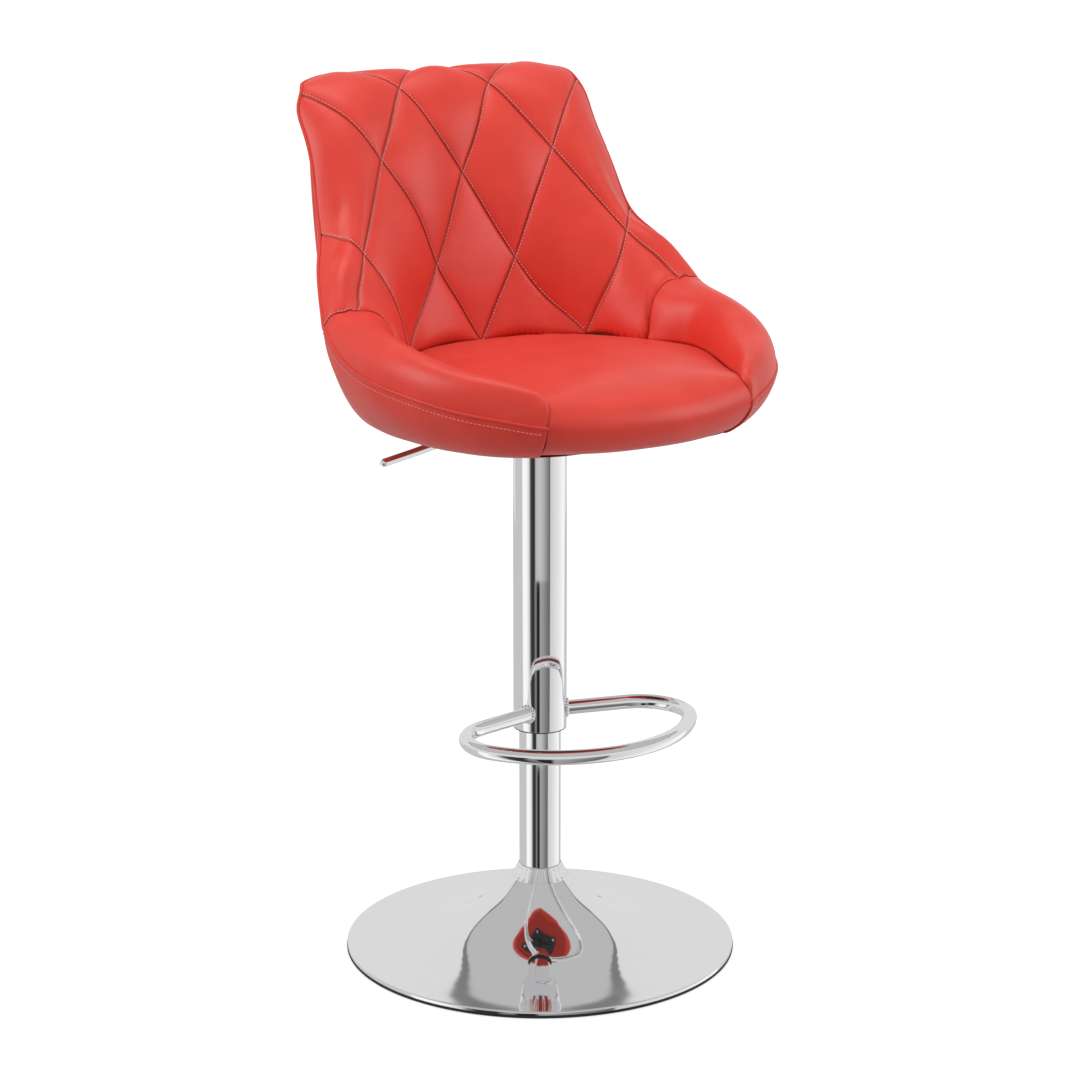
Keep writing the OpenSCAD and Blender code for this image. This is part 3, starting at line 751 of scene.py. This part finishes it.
# The finish of every CAD node, by its slot
NODE_FINISH = {
    "chrome": (CHROME, ["base_disc", "base_collar", "column_tube", "cover_tube", "footrest_loop", "lever",
                        "piston_rod"]),
    "rubber": (RUBBER, ["edge_ring", "bump_stop"]),
    "steel": (STEEL, ["base_ballast", "base_hub", "column_flange", "column_foot", "retaining_clip", "piston",
                      "valve_body", "release_pin", "lever_pin", "cylinder_gland"]),
    "bearing_steel": (BEARING, ["bearing_balls", "bearing_washer_lower", "bearing_washer_upper",
                                "bearing_ring"]),
    "zinc": (ZINC, ["base_bolts", "base_nuts", "seat_bolts", "bolt_washers", "tee_nuts"]),
    "black_plastic": (PLASTIC, ["guide_bush", "cover_bush", "cover_cap"]),
    "black_paint": (PAINT, ["gas_cylinder", "seat_plate"]),
    "under_cloth": (LINING, ["dust_cover"]),
    "plywood": (PLYWOOD, ["seat_board", "back_board"]),
    "upholstery": (LEATHER, ["seat_cushion", "bolster_left", "bolster_right", "back_pad", "outer_cover"]),
    "piping": (PIPING, ["welt"]),
}
for finish, names in NODE_FINISH.values():
    for node_name in names:
        mesh = NODES[node_name].data
        mesh.materials.clear()
        mesh.materials.append(finish)


# ---------------------------------------------------------------- chrome and base

def node_box(name):
    """A CAD node's box in millimetres."""
    low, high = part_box(name)
    return np.array(low) / MM, np.array(high) / MM


def rounded(radius, height, fillet, upward=-1, steps=5):
    """Profile points of a rounded outer corner at radius, height."""
    centre = (radius - fillet, height + upward * fillet)
    return [(centre[0] + fillet * math.sin(a), centre[1] - upward * fillet * math.cos(a))
            for a in np.linspace(0, math.pi / 2, steps)]


def make_base():
    low, high = node_box("base_disc")
    edge, lip = high[0], low[2]
    neck, bore, rim_top, wall = 28.0, 26.2, 6.2, 1.3

    def height(r):
        return rim_top + (high[2] - rim_top) * ((edge - r) / (edge - neck)) ** 3

    radii = edge - (edge - bore) * (np.linspace(0, 1, 90) ** 1.15)
    outside = [(r, height(r)) for r in radii[::-1] if r < edge - 1.0]
    inside = [(r, height(r) - wall * math.sqrt(1 + (height(r + 0.5) - height(r - 0.5)) ** 2))
              for r in radii[2::3] if r < edge - 3]
    turned_edge = [(edge, lip + 0.3), (edge - 0.3, lip), (edge - 1.6, lip)]
    profile = outside + rounded(edge, rim_top, 1.1) + turned_edge + inside
    disc = lathe("base_cover", profile, BASE_CHROME, steps=288, sharp=40)
    place(disc, "base", ["base_disc"])

    low, high = node_box("edge_ring")
    seat = high[0] - 6.5
    profile = [(seat, low[2] + 0.2), (seat, high[2])] + rounded(high[0], high[2], 0.7) \
        + rounded(high[0], low[2], 0.5, upward=1)[::-1] + [(high[0] - 6.2, low[2])]
    seal = lathe("base_rubber", profile, RUBBER, steps=256, sharp=50)
    place(seal, "base", ["edge_ring"])


def make_collar():
    """The notched cone where the column enters the base."""
    low, high = node_box("base_collar")
    wide, slots, per_slot, slot_depth = high[0], 24, 24, 1.7
    narrow = node_box("column_tube")[1][0] + 0.8
    steps = slots * per_slot

    def level(share):
        return low[2] + share * (high[2] - low[2])

    outline = [(0.0, wide - 1.4), (0.03, wide - 0.3), (0.08, wide)]
    outline += [(k, wide - (wide - narrow) * (k - 0.08) / 0.92) for k in np.linspace(0.12, 0.94, 26)]
    outline += [(0.975, narrow + 0.2), (1.0, narrow - 0.5)]
    points = []
    for share, radius in outline:
        along = np.clip((0.34 - abs(share - 0.52)) / 0.07, 0, 1)
        for k in range(steps):
            across = np.clip(1.25 - abs((k % per_slot) / per_slot - 0.5) / 0.14, 0, 1)
            dented = radius - slot_depth * across * along
            a = 2 * math.pi * k / steps
            points.append((dented * math.cos(a), dented * math.sin(a), level(share)))
    for share in (1.0, 0.0):
        points += ring(narrow - 0.6, level(share), steps)
    faces = grid_faces(len(outline) + 2, steps, True, True)
    collar = make_solid("column_collar", points, faces, CHROME, sharp=50)
    place(collar, "base", ["base_collar"])


def make_tubes():
    low, high = node_box("column_tube")
    inner = high[0] - 1.5
    profile = rounded(high[0], high[2], 0.5) + [(high[0], low[2]), (inner, low[2]), (inner, high[2])]
    place(lathe("column", profile, CHROME), "base", ["column_tube"])
    low, high = node_box("cover_tube")
    inner = high[0] - 1.2
    profile = rounded(high[0], high[2], 0.5) + rounded(high[0], low[2], 0.5, upward=1)[::-1] \
        + [(inner, low[2]), (inner, high[2])]
    place(lathe("cover", profile, CHROME, steps=192), "carriage", ["cover_tube"])
    low, high = node_box("cover_bush")
    bore = node_box("column_tube")[1][0] + 0.35
    lip_top, top, neck = low[2] + 1.0, low[2] + 14, high[0] - 1.3
    profile = [(bore, low[2] + 0.3), (bore + 0.4, low[2])] + rounded(high[0], low[2], 0.35, upward=1) \
        + [(high[0], lip_top), (neck, lip_top), (neck, top), (bore, top)]
    place(lathe("cover_lip", profile, PLASTIC), "carriage", ["cover_bush"])


# Radii of the footrest's bends, and where and how steeply its legs leave the cover tube
FRONT_ARC, FRONT_CORNER, REAR_CORNER = 132.0, 44.0, 47.0
LEG_START, LEG_SLOPE = (24.0, -13.5), math.radians(13.6)


def arc(centre, radius, start, end, count, height):
    return [(centre[0] + radius * math.cos(a), centre[1] + radius * math.sin(a), height)
            for a in np.radians(np.linspace(start, end, count))]


def make_footrest():
    low, high = node_box("footrest_loop")
    rod = (high[2] - low[2]) / 2
    z, half, reach = (high[2] + low[2]) / 2, high[0] - rod, -low[1] - rod
    slope_sin, slope_cos, slope_tan = math.sin(LEG_SLOPE), math.cos(LEG_SLOPE), math.tan(LEG_SLOPE)
    swing = math.degrees(math.asin((half - FRONT_CORNER) / (FRONT_ARC - FRONT_CORNER)))
    front = (0.0, FRONT_ARC - reach)
    corner = (half - FRONT_CORNER, front[1] - (FRONT_ARC - FRONT_CORNER) * math.cos(math.radians(swing)))
    rear_x = half - REAR_CORNER
    rear = (rear_x, LEG_START[1] - (REAR_CORNER + (rear_x - LEG_START[0]) * slope_sin) / slope_cos)
    end = (rear[0] + REAR_CORNER * slope_sin, rear[1] + REAR_CORNER * slope_cos)
    root = (LEG_START[0] - 3, LEG_START[1] + 3 * slope_tan)
    side = [(root[0] + (end[0] - root[0]) * k, root[1] + (end[1] - root[1]) * k, z)
            for k in np.linspace(0, 1, 20)]
    side += arc(rear, REAR_CORNER, 90 - math.degrees(LEG_SLOPE), 0, 24, z)[1:]
    side += [(half, rear[1] + (corner[1] - rear[1]) * 0.5, z)]
    side += arc(corner, FRONT_CORNER, 0, swing - 90, 40, z)
    side += arc(front, FRONT_ARC, swing - 90, -90, 22, z)[1:]
    path = evenly(np.array(side + [(-x, y, h) for x, y, h in side[-2::-1]]), 300)
    for _ in range(3):
        path[1:-1] = (path[:-2] + 2 * path[1:-1] + path[2:]) / 4
    loop = tube("footrest", path, (0, 0, 1), rod, CHROME, sides=40, ends="flat")
    place(loop, "carriage", ["footrest_loop"])
    make_welds(path, rod)


def blob(centre, radii, turn, seed, rows=6, cols=10):
    """Points and faces of an uneven weld bead."""
    waves = np.random.default_rng(seed).uniform(0, 2 * math.pi, 4)
    points = []
    for i in range(rows + 1):
        tilt = math.pi * i / rows
        for j in range(cols):
            a = 2 * math.pi * j / cols
            rough = 1 + 0.10 * math.sin(3 * a + waves[0]) * math.sin(tilt * 4 + waves[1]) \
                + 0.07 * math.sin(5 * a + waves[2]) * math.sin(tilt * 6 + waves[3])
            x = radii[0] * math.sin(tilt) * math.cos(a) * rough
            y = radii[1] * math.sin(tilt) * math.sin(a) * rough
            z = radii[2] * math.cos(tilt) * rough
            points.append((centre[0] + x * math.cos(turn) - y * math.sin(turn),
                           centre[1] + x * math.sin(turn) + y * math.cos(turn), centre[2] + z))
    return points, grid_faces(rows + 1, cols, around=True)


def make_welds(path, rod):
    """Fillet beads where the footrest's legs meet the cover tube."""
    cover = node_box("cover_tube")[1][0]
    beads, bead_radii = 14, (2.0, 1.9, 2.1)
    points, faces = [], []
    for side, (start, inner) in enumerate(((path[0], path[1]), (path[-1], path[-2]))):
        ahead = (inner - start) / np.linalg.norm(start - inner)
        across = np.cross(ahead, (0, 0, 1))
        for turn in range(beads):
            a = 2 * math.pi * turn / beads
            spot = start + (rod + 0.2) * (across * math.cos(a) + np.array([0, 0, 1]) * math.sin(a))
            for _ in range(60):
                if math.hypot(spot[0], spot[1]) >= cover + 0.4:
                    break
                spot = spot + ahead * 0.3
            bead, bead_faces = blob(spot, bead_radii, a, turn + 20 * side)
            faces += shifted_faces(bead_faces, len(points))
            points += bead
    place(make_solid("footrest_welds", points, faces, CHROME, sharp=70), "carriage")


def make_lever():
    """The height lever: a bent rod with a rounded tip."""
    reach = -node_box("lever")[0][0] - 1.0
    rod, z, bend, dip = 4.0, 527.0, 94.0, math.tan(math.radians(11))
    path = [(4, 0, z), (-30, 0, z), (-60, 0, z), (6 - bend, 0, z), (-bend, 0, z - 0.4)]
    path += [(-bend - run, 0, z - run * dip) for run in (6, 30, reach - bend)]
    lever = tube("height_lever", spline(path, 90), (0, 1, 0), rod, CHROME)
    place(lever, "lever", ["lever"])


# ---------------------------------------------------------------- seat pieces

# Settings of the leather's cloth simulation, under Blender's own names
CLOTH_SETTINGS = {"quality": 6, "mass": 0.35, "tension_stiffness": 25, "compression_stiffness": 25,
                  "shear_stiffness": 12, "bending_stiffness": 1.5, "air_damping": 4, "use_pressure": True,
                  "uniform_pressure_force": CLOTH_PRESSURE}


def puffed(points, faces, held):
    """The sheet blown out by cloth simulation between its held points, moved no further than CLOTH_CAP."""
    scene = bpy.context.scene
    trial = make_object("cloth_trial", points, faces, LEATHER)
    group = trial.vertex_groups.new(name="held")
    for k, share in enumerate(held):
        group.add([k], float(share), "REPLACE")
    cloth = trial.modifiers.new("cloth", "CLOTH")
    cloth.settings.vertex_group_mass = "held"
    for key, value in CLOTH_SETTINGS.items():
        setattr(cloth.settings, key, value)
    cloth.settings.effector_weights.gravity = 0
    cloth.collision_settings.use_collision = False
    for number in range(1, CLOTH_FRAMES + 1):
        scene.frame_set(number)
    settled = trial.evaluated_get(bpy.context.evaluated_depsgraph_get()).to_mesh()
    blown = np.array([v.co for v in settled.vertices]) / MM
    bpy.data.objects.remove(trial)
    scene.frame_set(1)
    moved = blown - points
    far = np.linalg.norm(moved, axis=1, keepdims=True)
    moved = moved * np.minimum(1, CLOTH_CAP * np.tanh(far / CLOTH_CAP) / np.maximum(far, 1e-6))
    return points + moved * (1 - np.asarray(held))[:, None]


def held_at_border(points, faces, width):
    """1 on the border of a sheet, falling to 0 at a width from it, for the cloth simulation to hold."""
    return np.clip(2 * border_share(points, faces, width) ** 0.7, 0, 1)


def closed_form(name, points, faces, normals, depth):
    """A leather piece over foam: the sheet with a hidden back, depth behind it and closer near its border."""
    thick = EDGE_DEPTH + (depth - EDGE_DEPTH) * np.clip(border_gap(points, faces) / (1.5 * depth), 0, 1)
    return make_object(name, *between(points, points - normals * thick[:, None], faces), LEATHER)


def make_back():
    where, p, q, faces = quilt_mesh()
    normals = back_normal(where)
    points = back_base(where) + normals * quilt_swell(p, q)[:, None]
    if (sheet_normals(points, faces) * normals).sum() < 0:
        faces = reversed_faces(faces)
    held = np.maximum(np.clip(1.8 - seam_gap(p, q) / 0.035, 0, 1), held_at_border(points, faces, 6.0))
    points = puffed(points, faces, held)
    pad = closed_form("back_cushion", points, faces, sheet_normals(points, faces), 9.0)
    # Painted shade along the quilting seams
    paint_seam_shade(pad, seam_share(p, q))
    return [place(pad, "carriage", ["back_pad"])]


def seamed_pad(name, sheet, held_width, depth, node):
    """A pad with a seam all round its sheet, which the cloth simulation holds."""
    points, faces, normals = sheet
    points = puffed(points, faces, held_at_border(points, faces, held_width))
    pad = closed_form(name, points, faces, normals, depth)
    # Painted shade along the seam round the pad's border
    paint_seam_shade(pad, border_share(points, faces, 2.2))
    return place(pad, "carriage", [node])


def make_shell():
    cover = closed_form("outer_leather", *shell_sheet(), 3.5)
    place(cover, "carriage", ["outer_cover"])
    path = np.concatenate([RIM[:0:-1] * [-1, 1, 1], RIM])
    cord = tube("rim_piping", path, outward(path), 1.7, PIPING, sides=14)
    return [cover, place(cord, "carriage", ["welt"])]


def make_lining():
    """The woven lining stretched under the seat board, open round the four bolts."""
    low, high = node_box("dust_cover")
    middle, round_by, bolt_hole = (low + high) / 2, 91.0, 3.75
    half = (high - low) / 2 - [0.6, 0.6, 0]
    outline = []
    for turn, sign in enumerate(((1, 1), (-1, 1), (-1, -1), (1, -1))):
        centre = middle[:2] + (half[:2] - round_by) * sign
        outline += arc(centre, round_by, turn * 90, turn * 90 + 90, 24, 0)
    loops = [outline] + [arc((x, y), bolt_hole, 360, 15, 24, 0) for x in BOLTS_AT for y in BOLTS_AT]
    places, edges = [], []
    for loop in loops:
        edges += [(len(places) + k, len(places) + (k + 1) % len(loop)) for k in range(len(loop))]
        places += [Vector(p[:2]) for p in loop]
    places += [Vector((x, y)) for x in np.arange(low[0], high[0], LINING_STEP)
               for y in np.arange(low[1], high[1], LINING_STEP)]
    flat, _, faces, *_ = delaunay_2d_cdt(places, edges, [], 3, 1e-5)
    used = sorted({k for f in faces for k in f})
    new = {k: n for n, k in enumerate(used)}
    ripple, thin = 0.05 * (high[2] - low[2]), 0.5 * (high[2] - low[2])
    points = np.array([(x, y, high[2] - 0.15 + ripple * math.sin(x / 9) * math.sin(y / 31))
                       for x, y in (flat[k] for k in used)])
    faces = [tuple(new[k] for k in f)[::-1] for f in faces]
    lining = make_solid("seat_lining", *between(points, points - [0, 0, thin], faces), LINING, smooth=False)
    place(lining, "carriage", ["dust_cover"])


def stitch_mesh(lines, normals, length, gap, radius, proud, begin=2.0, sides=6):
    """Dashes of thread laid along lines that lie on a surface."""
    points, faces = [], []
    dip = np.array([-0.9, 0.35, 0.5, 0.35, -0.9]) * radius
    radii = radius * np.array([0.7, 1, 1, 1, 0.7])
    for line, normal in zip(lines, normals):
        run = distances(line)
        start = begin
        while start + length < run[-1] - begin:
            spots = np.linspace(start, start + length, len(dip))
            out = unit(line_at(normal, run, spots))
            first = len(points)
            path = line_at(line, run, spots) + out * (proud + dip)[:, None]
            points += list(tube_points(path, out, radii, sides))
            faces += grid_faces(len(dip), sides, around=True, first=first)
            faces += [tuple(range(k, k + sides)) for k in (first, first + (len(dip) - 1) * sides)]
            start += length + gap
    return points, faces


# Ends of the quilting seams and the wings' seams, in lattice steps (across, up)
LATTICE_SEAMS = [((1, 3), (4, 0)), ((3, 3), (0, 0)), ((1, 3), (-2, 0)), ((4, 2), (2, 0)), ((1, 3), (2, 4)),
                 ((1, 3), (0, 4)), ((-1, 3), (-4, 0)), ((-3, 3), (0, 0)), ((-1, 3), (2, 0)),
                 ((-4, 2), (-2, 0)), ((-1, 3), (-2, 4)), ((-1, 3), (0, 4)), ((4, 0), (5, 1)), ((-4, 0), (-5, 1))]
# How far a row of stitches lies from its quilting seam, in lattice steps, and from the rim piping
STITCH_ASIDE, STITCH_BELOW = 0.022, 6.5


def make_stitches():
    """Thread along the quilting seams and a parallel row below the rim piping."""
    lines, normals = [], []
    for start, end in LATTICE_SEAMS:
        start, end = np.array(start, float), np.array(end, float)
        along = end - start
        aside = np.array([-along[1], along[0]]) / np.linalg.norm(along) * STITCH_ASIDE
        if aside[0] < 0:
            aside = -aside
        where = start + along * np.linspace(0, 1, 160)[:, None] + aside
        normal = back_normal(where)
        p, q = (where[:, 0] + where[:, 1]) / 2, (where[:, 0] - where[:, 1]) / 2
        lines.append(back_base(where) + normal * quilt_swell(p, q)[:, None])
        normals.append(normal)
    points, faces = stitch_mesh(lines, normals, 2.3, 1.1, 0.46, 0.5)
    line = np.array([line_at(column, distances(column), [STITCH_BELOW])[0] for column in shell_columns()])
    for flip in ([1, 1, 1], [-1, 1, 1]):
        more, new = stitch_mesh([line * flip], [outward(line) * flip], 2.6, 1.3, 0.40, 0.3)
        faces += shifted_faces(new, len(points))
        points += more
    return [place(make_solid("stitching", points, faces, THREAD), "carriage")]


# ---------------------------------------------------------------- stage

def make_stage():
    """A white floor that only the camera sees, far past the picture's edges."""
    reach = 60.0 / MM
    material, _ = new_material("floor_paper", (0.85, 0.85, 0.85), 0.9, Emission_Color=(1, 1, 1, 1),
                               Emission_Strength=0.62)
    corners = [(-reach, -reach, 0), (reach, -reach, 0), (reach, reach, 0), (-reach, reach, 0)]
    floor = make_object("floor", corners, [(0, 1, 2, 3)], material, smooth=False)
    floor.visible_glossy = False
    floor.visible_diffuse = False
    floor.location.z = -0.0005


def area_light(name, place_at, aim, size, power, receivers):
    data = bpy.data.lights.new(name, "AREA")
    data.shape = "RECTANGLE"
    data.size, data.size_y, data.energy = size[0], size[1], power
    lamp = bpy.data.objects.new(name, data)
    bpy.context.scene.collection.objects.link(lamp)
    lamp.location = place_at
    lamp.rotation_euler = (Vector(aim) - Vector(place_at)).to_track_quat("-Z", "Y").to_euler()
    lamp.light_linking.receiver_collection = receivers


# Brightness of the studio round the camera's side, as the upright chrome shows it: (degrees, brightness).
# Degrees run from behind the camera's left, through the camera at 0, to its right.
STUDIO_LEFT = [(-180, 0.58), (-82, 0.58), (-78, 1.0), (-60, 1.0), (-47, 0.70), (-42, 0.20), (-37, 0.04)]
STUDIO_RIGHT = [(43, 0.13), (45, 0.64), (80, 0.80), (118, 1.0), (128, 1.0), (132, 0.58), (180, 0.58)]
LOW_STUDIO = STUDIO_LEFT + [(-22.5, 0.035), (-18, 0.50), (0, 0.57), (12, 0.48), (30, 0.27)] + STUDIO_RIGHT
# The same below this sine of the angle, where polished uprights see two dark panels on the floor close by
FLOOR_FROM = -0.249
FLOOR_STUDIO = STUDIO_LEFT + [(-25, 0.03), (-22, 0.20), (-15.5, 0.20), (-13, 0.02), (-2.5, 0.02), (0.5, 0.37),
                              (12, 0.32), (28, 0.21)] + STUDIO_RIGHT
# Above the horizon: bright walls, a dark cornice at an angle that changes round the room, and a grey ceiling.
# (degrees away from the camera's side, degrees above the horizon)
CORNICE = [(0, 29), (115, 29), (121, 32), (133, 30.5), (139, 33), (146, 40), (152, 43), (158, 44.2),
           (164, 43), (168.7, 40.4), (172.5, 36.5), (174.5, 33.4), (176.4, 29.6), (177.6, 26.4), (178.2, 24),
           (180, 22)]
WALL, CORNICE_DARK, CEILING = 0.74, 0.20, 0.50
# Across the cornice's lower and upper edge, with the cornice's own line at 0.5
CORNICE_STEPS = [(0.0, WALL), (0.42, WALL), (0.45, CORNICE_DARK), (0.53, CORNICE_DARK), (0.58, CEILING),
                 (1.0, CEILING)]
# Behind the camera the wall reaches down to this sine of the angle below the horizon
BEHIND_FROM, BEHIND_LOW = 128.0, -0.21
# Soft light on everything that is not polished: (0 straight down to 1 straight up, brightness)
AMBIENT = [(0.0, 0.56), (0.42, 0.52), (0.5, 0.50), (0.7, 0.58), (1.0, 0.66)]


def studio_color(kit, parts):
    """What polished metal sees in a direction: the low studio, and the walls and ceiling above it."""
    turn = kit.calc("ARCTAN2", parts.outputs["X"], kit.calc("MULTIPLY", parts.outputs["Y"], -1.0))
    turn = kit.calc("ADD", turn, math.radians(VIEW_SIDE))
    turn = kit.calc("WRAP", turn, math.pi, -math.pi)
    across = kit.calc("MULTIPLY_ADD", turn, 1 / (2 * math.pi), 0.5)
    rounds = [kit.steps(across, [((d + 180) / 360, grey) for d, grey in stops])
              for stops in (LOW_STUDIO, FLOOR_STUDIO)]
    low = kit.mix(kit.calc("LESS_THAN", parts.outputs["Z"], FLOOR_FROM), *rounds)
    away = kit.calc("DIVIDE", kit.calc("ABSOLUTE", turn), math.pi)
    edge = kit.steps(away, [(d / 180, rise / 90) for d, rise in CORNICE])
    rise = kit.calc("DIVIDE", kit.calc("ARCSINE", parts.outputs["Z"]), math.pi / 2)
    past = kit.calc("MULTIPLY_ADD", kit.calc("SUBTRACT", rise, edge), 5.0, 0.5)
    behind = kit.calc("GREATER_THAN", away, BEHIND_FROM / 180)
    above = kit.calc("GREATER_THAN", parts.outputs["Z"], kit.calc("MULTIPLY", behind, BEHIND_LOW))
    return kit.mix(above, low, kit.steps(past, CORNICE_STEPS))


def make_world():
    """Even white light; polished metal sees a studio with grey and dark panels instead."""
    world = bpy.data.worlds.new("studio")
    bpy.context.scene.world = world
    world.use_nodes = True
    world.node_tree.nodes.clear()
    kit = Shading(world.node_tree)
    direction = kit.add("ShaderNodeTexCoord").outputs["Generated"]
    parts = kit.add("ShaderNodeSeparateXYZ", Vector=direction)
    ray = kit.add("ShaderNodeLightPath")
    lift = kit.calc("MULTIPLY_ADD", parts.outputs["Z"], 0.5, 0.5)
    soft = kit.mix(ray.outputs["Is Camera Ray"], kit.steps(lift, AMBIENT), (1, 1, 1))
    seen = kit.mix(ray.outputs["Is Glossy Ray"], soft, studio_color(kit, parts))
    background = kit.add("ShaderNodeBackground", Color=seen, Strength=1.0)
    kit.add("ShaderNodeOutputWorld", Surface=background.outputs[0])


def toward(side, reach, height):
    """A point at an angle from the camera's direction about the column, in metres."""
    a = math.radians(side - VIEW_SIDE)
    return (reach * math.sin(a), -reach * math.cos(a), height)


def make_lights(pieces):
    """Softboxes that light the seat; the polished parts are lit by the studio alone."""
    seat = bpy.data.collections.new("seat")
    for piece in pieces:
        seat.objects.link(piece)
    area_light("key", toward(-62, 2.2, 2.1), (0, 0, 0.6), (1.2, 1.2), 24, seat)
    area_light("fill", toward(78, 2.2, 1.5), (0, 0, 0.6), (1.2, 1.4), 15, seat)
    area_light("top", (0, 0.1, 3.0), (0, 0, 0.4), (1.5, 1.5), 17, seat)


def make_camera():
    data = bpy.data.cameras.new("camera")
    data.lens, data.sensor_width = LENS, 36.0
    data.clip_end = 200
    camera = bpy.data.objects.new("camera", data)
    bpy.context.scene.collection.objects.link(camera)
    side = math.radians(VIEW_SIDE)
    camera.location = (-CAMERA_REACH * math.sin(side), -CAMERA_REACH * math.cos(side), CAMERA_HEIGHT)
    camera.rotation_euler = (math.radians(90 - VIEW_DOWN), 0, -side)
    bpy.context.scene.camera = camera


make_camera()
make_base()
make_collar()
make_tubes()
make_footrest()
make_lever()
make_lining()
seat_pieces = make_back() + [
    seamed_pad("bolster_far", bolster_sheet(1), 8.0, 9.0, "bolster_left"),
    seamed_pad("bolster_near", bolster_sheet(-1), 8.0, 9.0, "bolster_right"),
    seamed_pad("seat_pad", cushion_sheet(), 10.0, 10.0, "seat_cushion"),
] + make_shell() + make_stitches()
make_stage()
make_world()
make_lights(seat_pieces)
bpy.context.scene.view_settings.view_transform = "Standard"
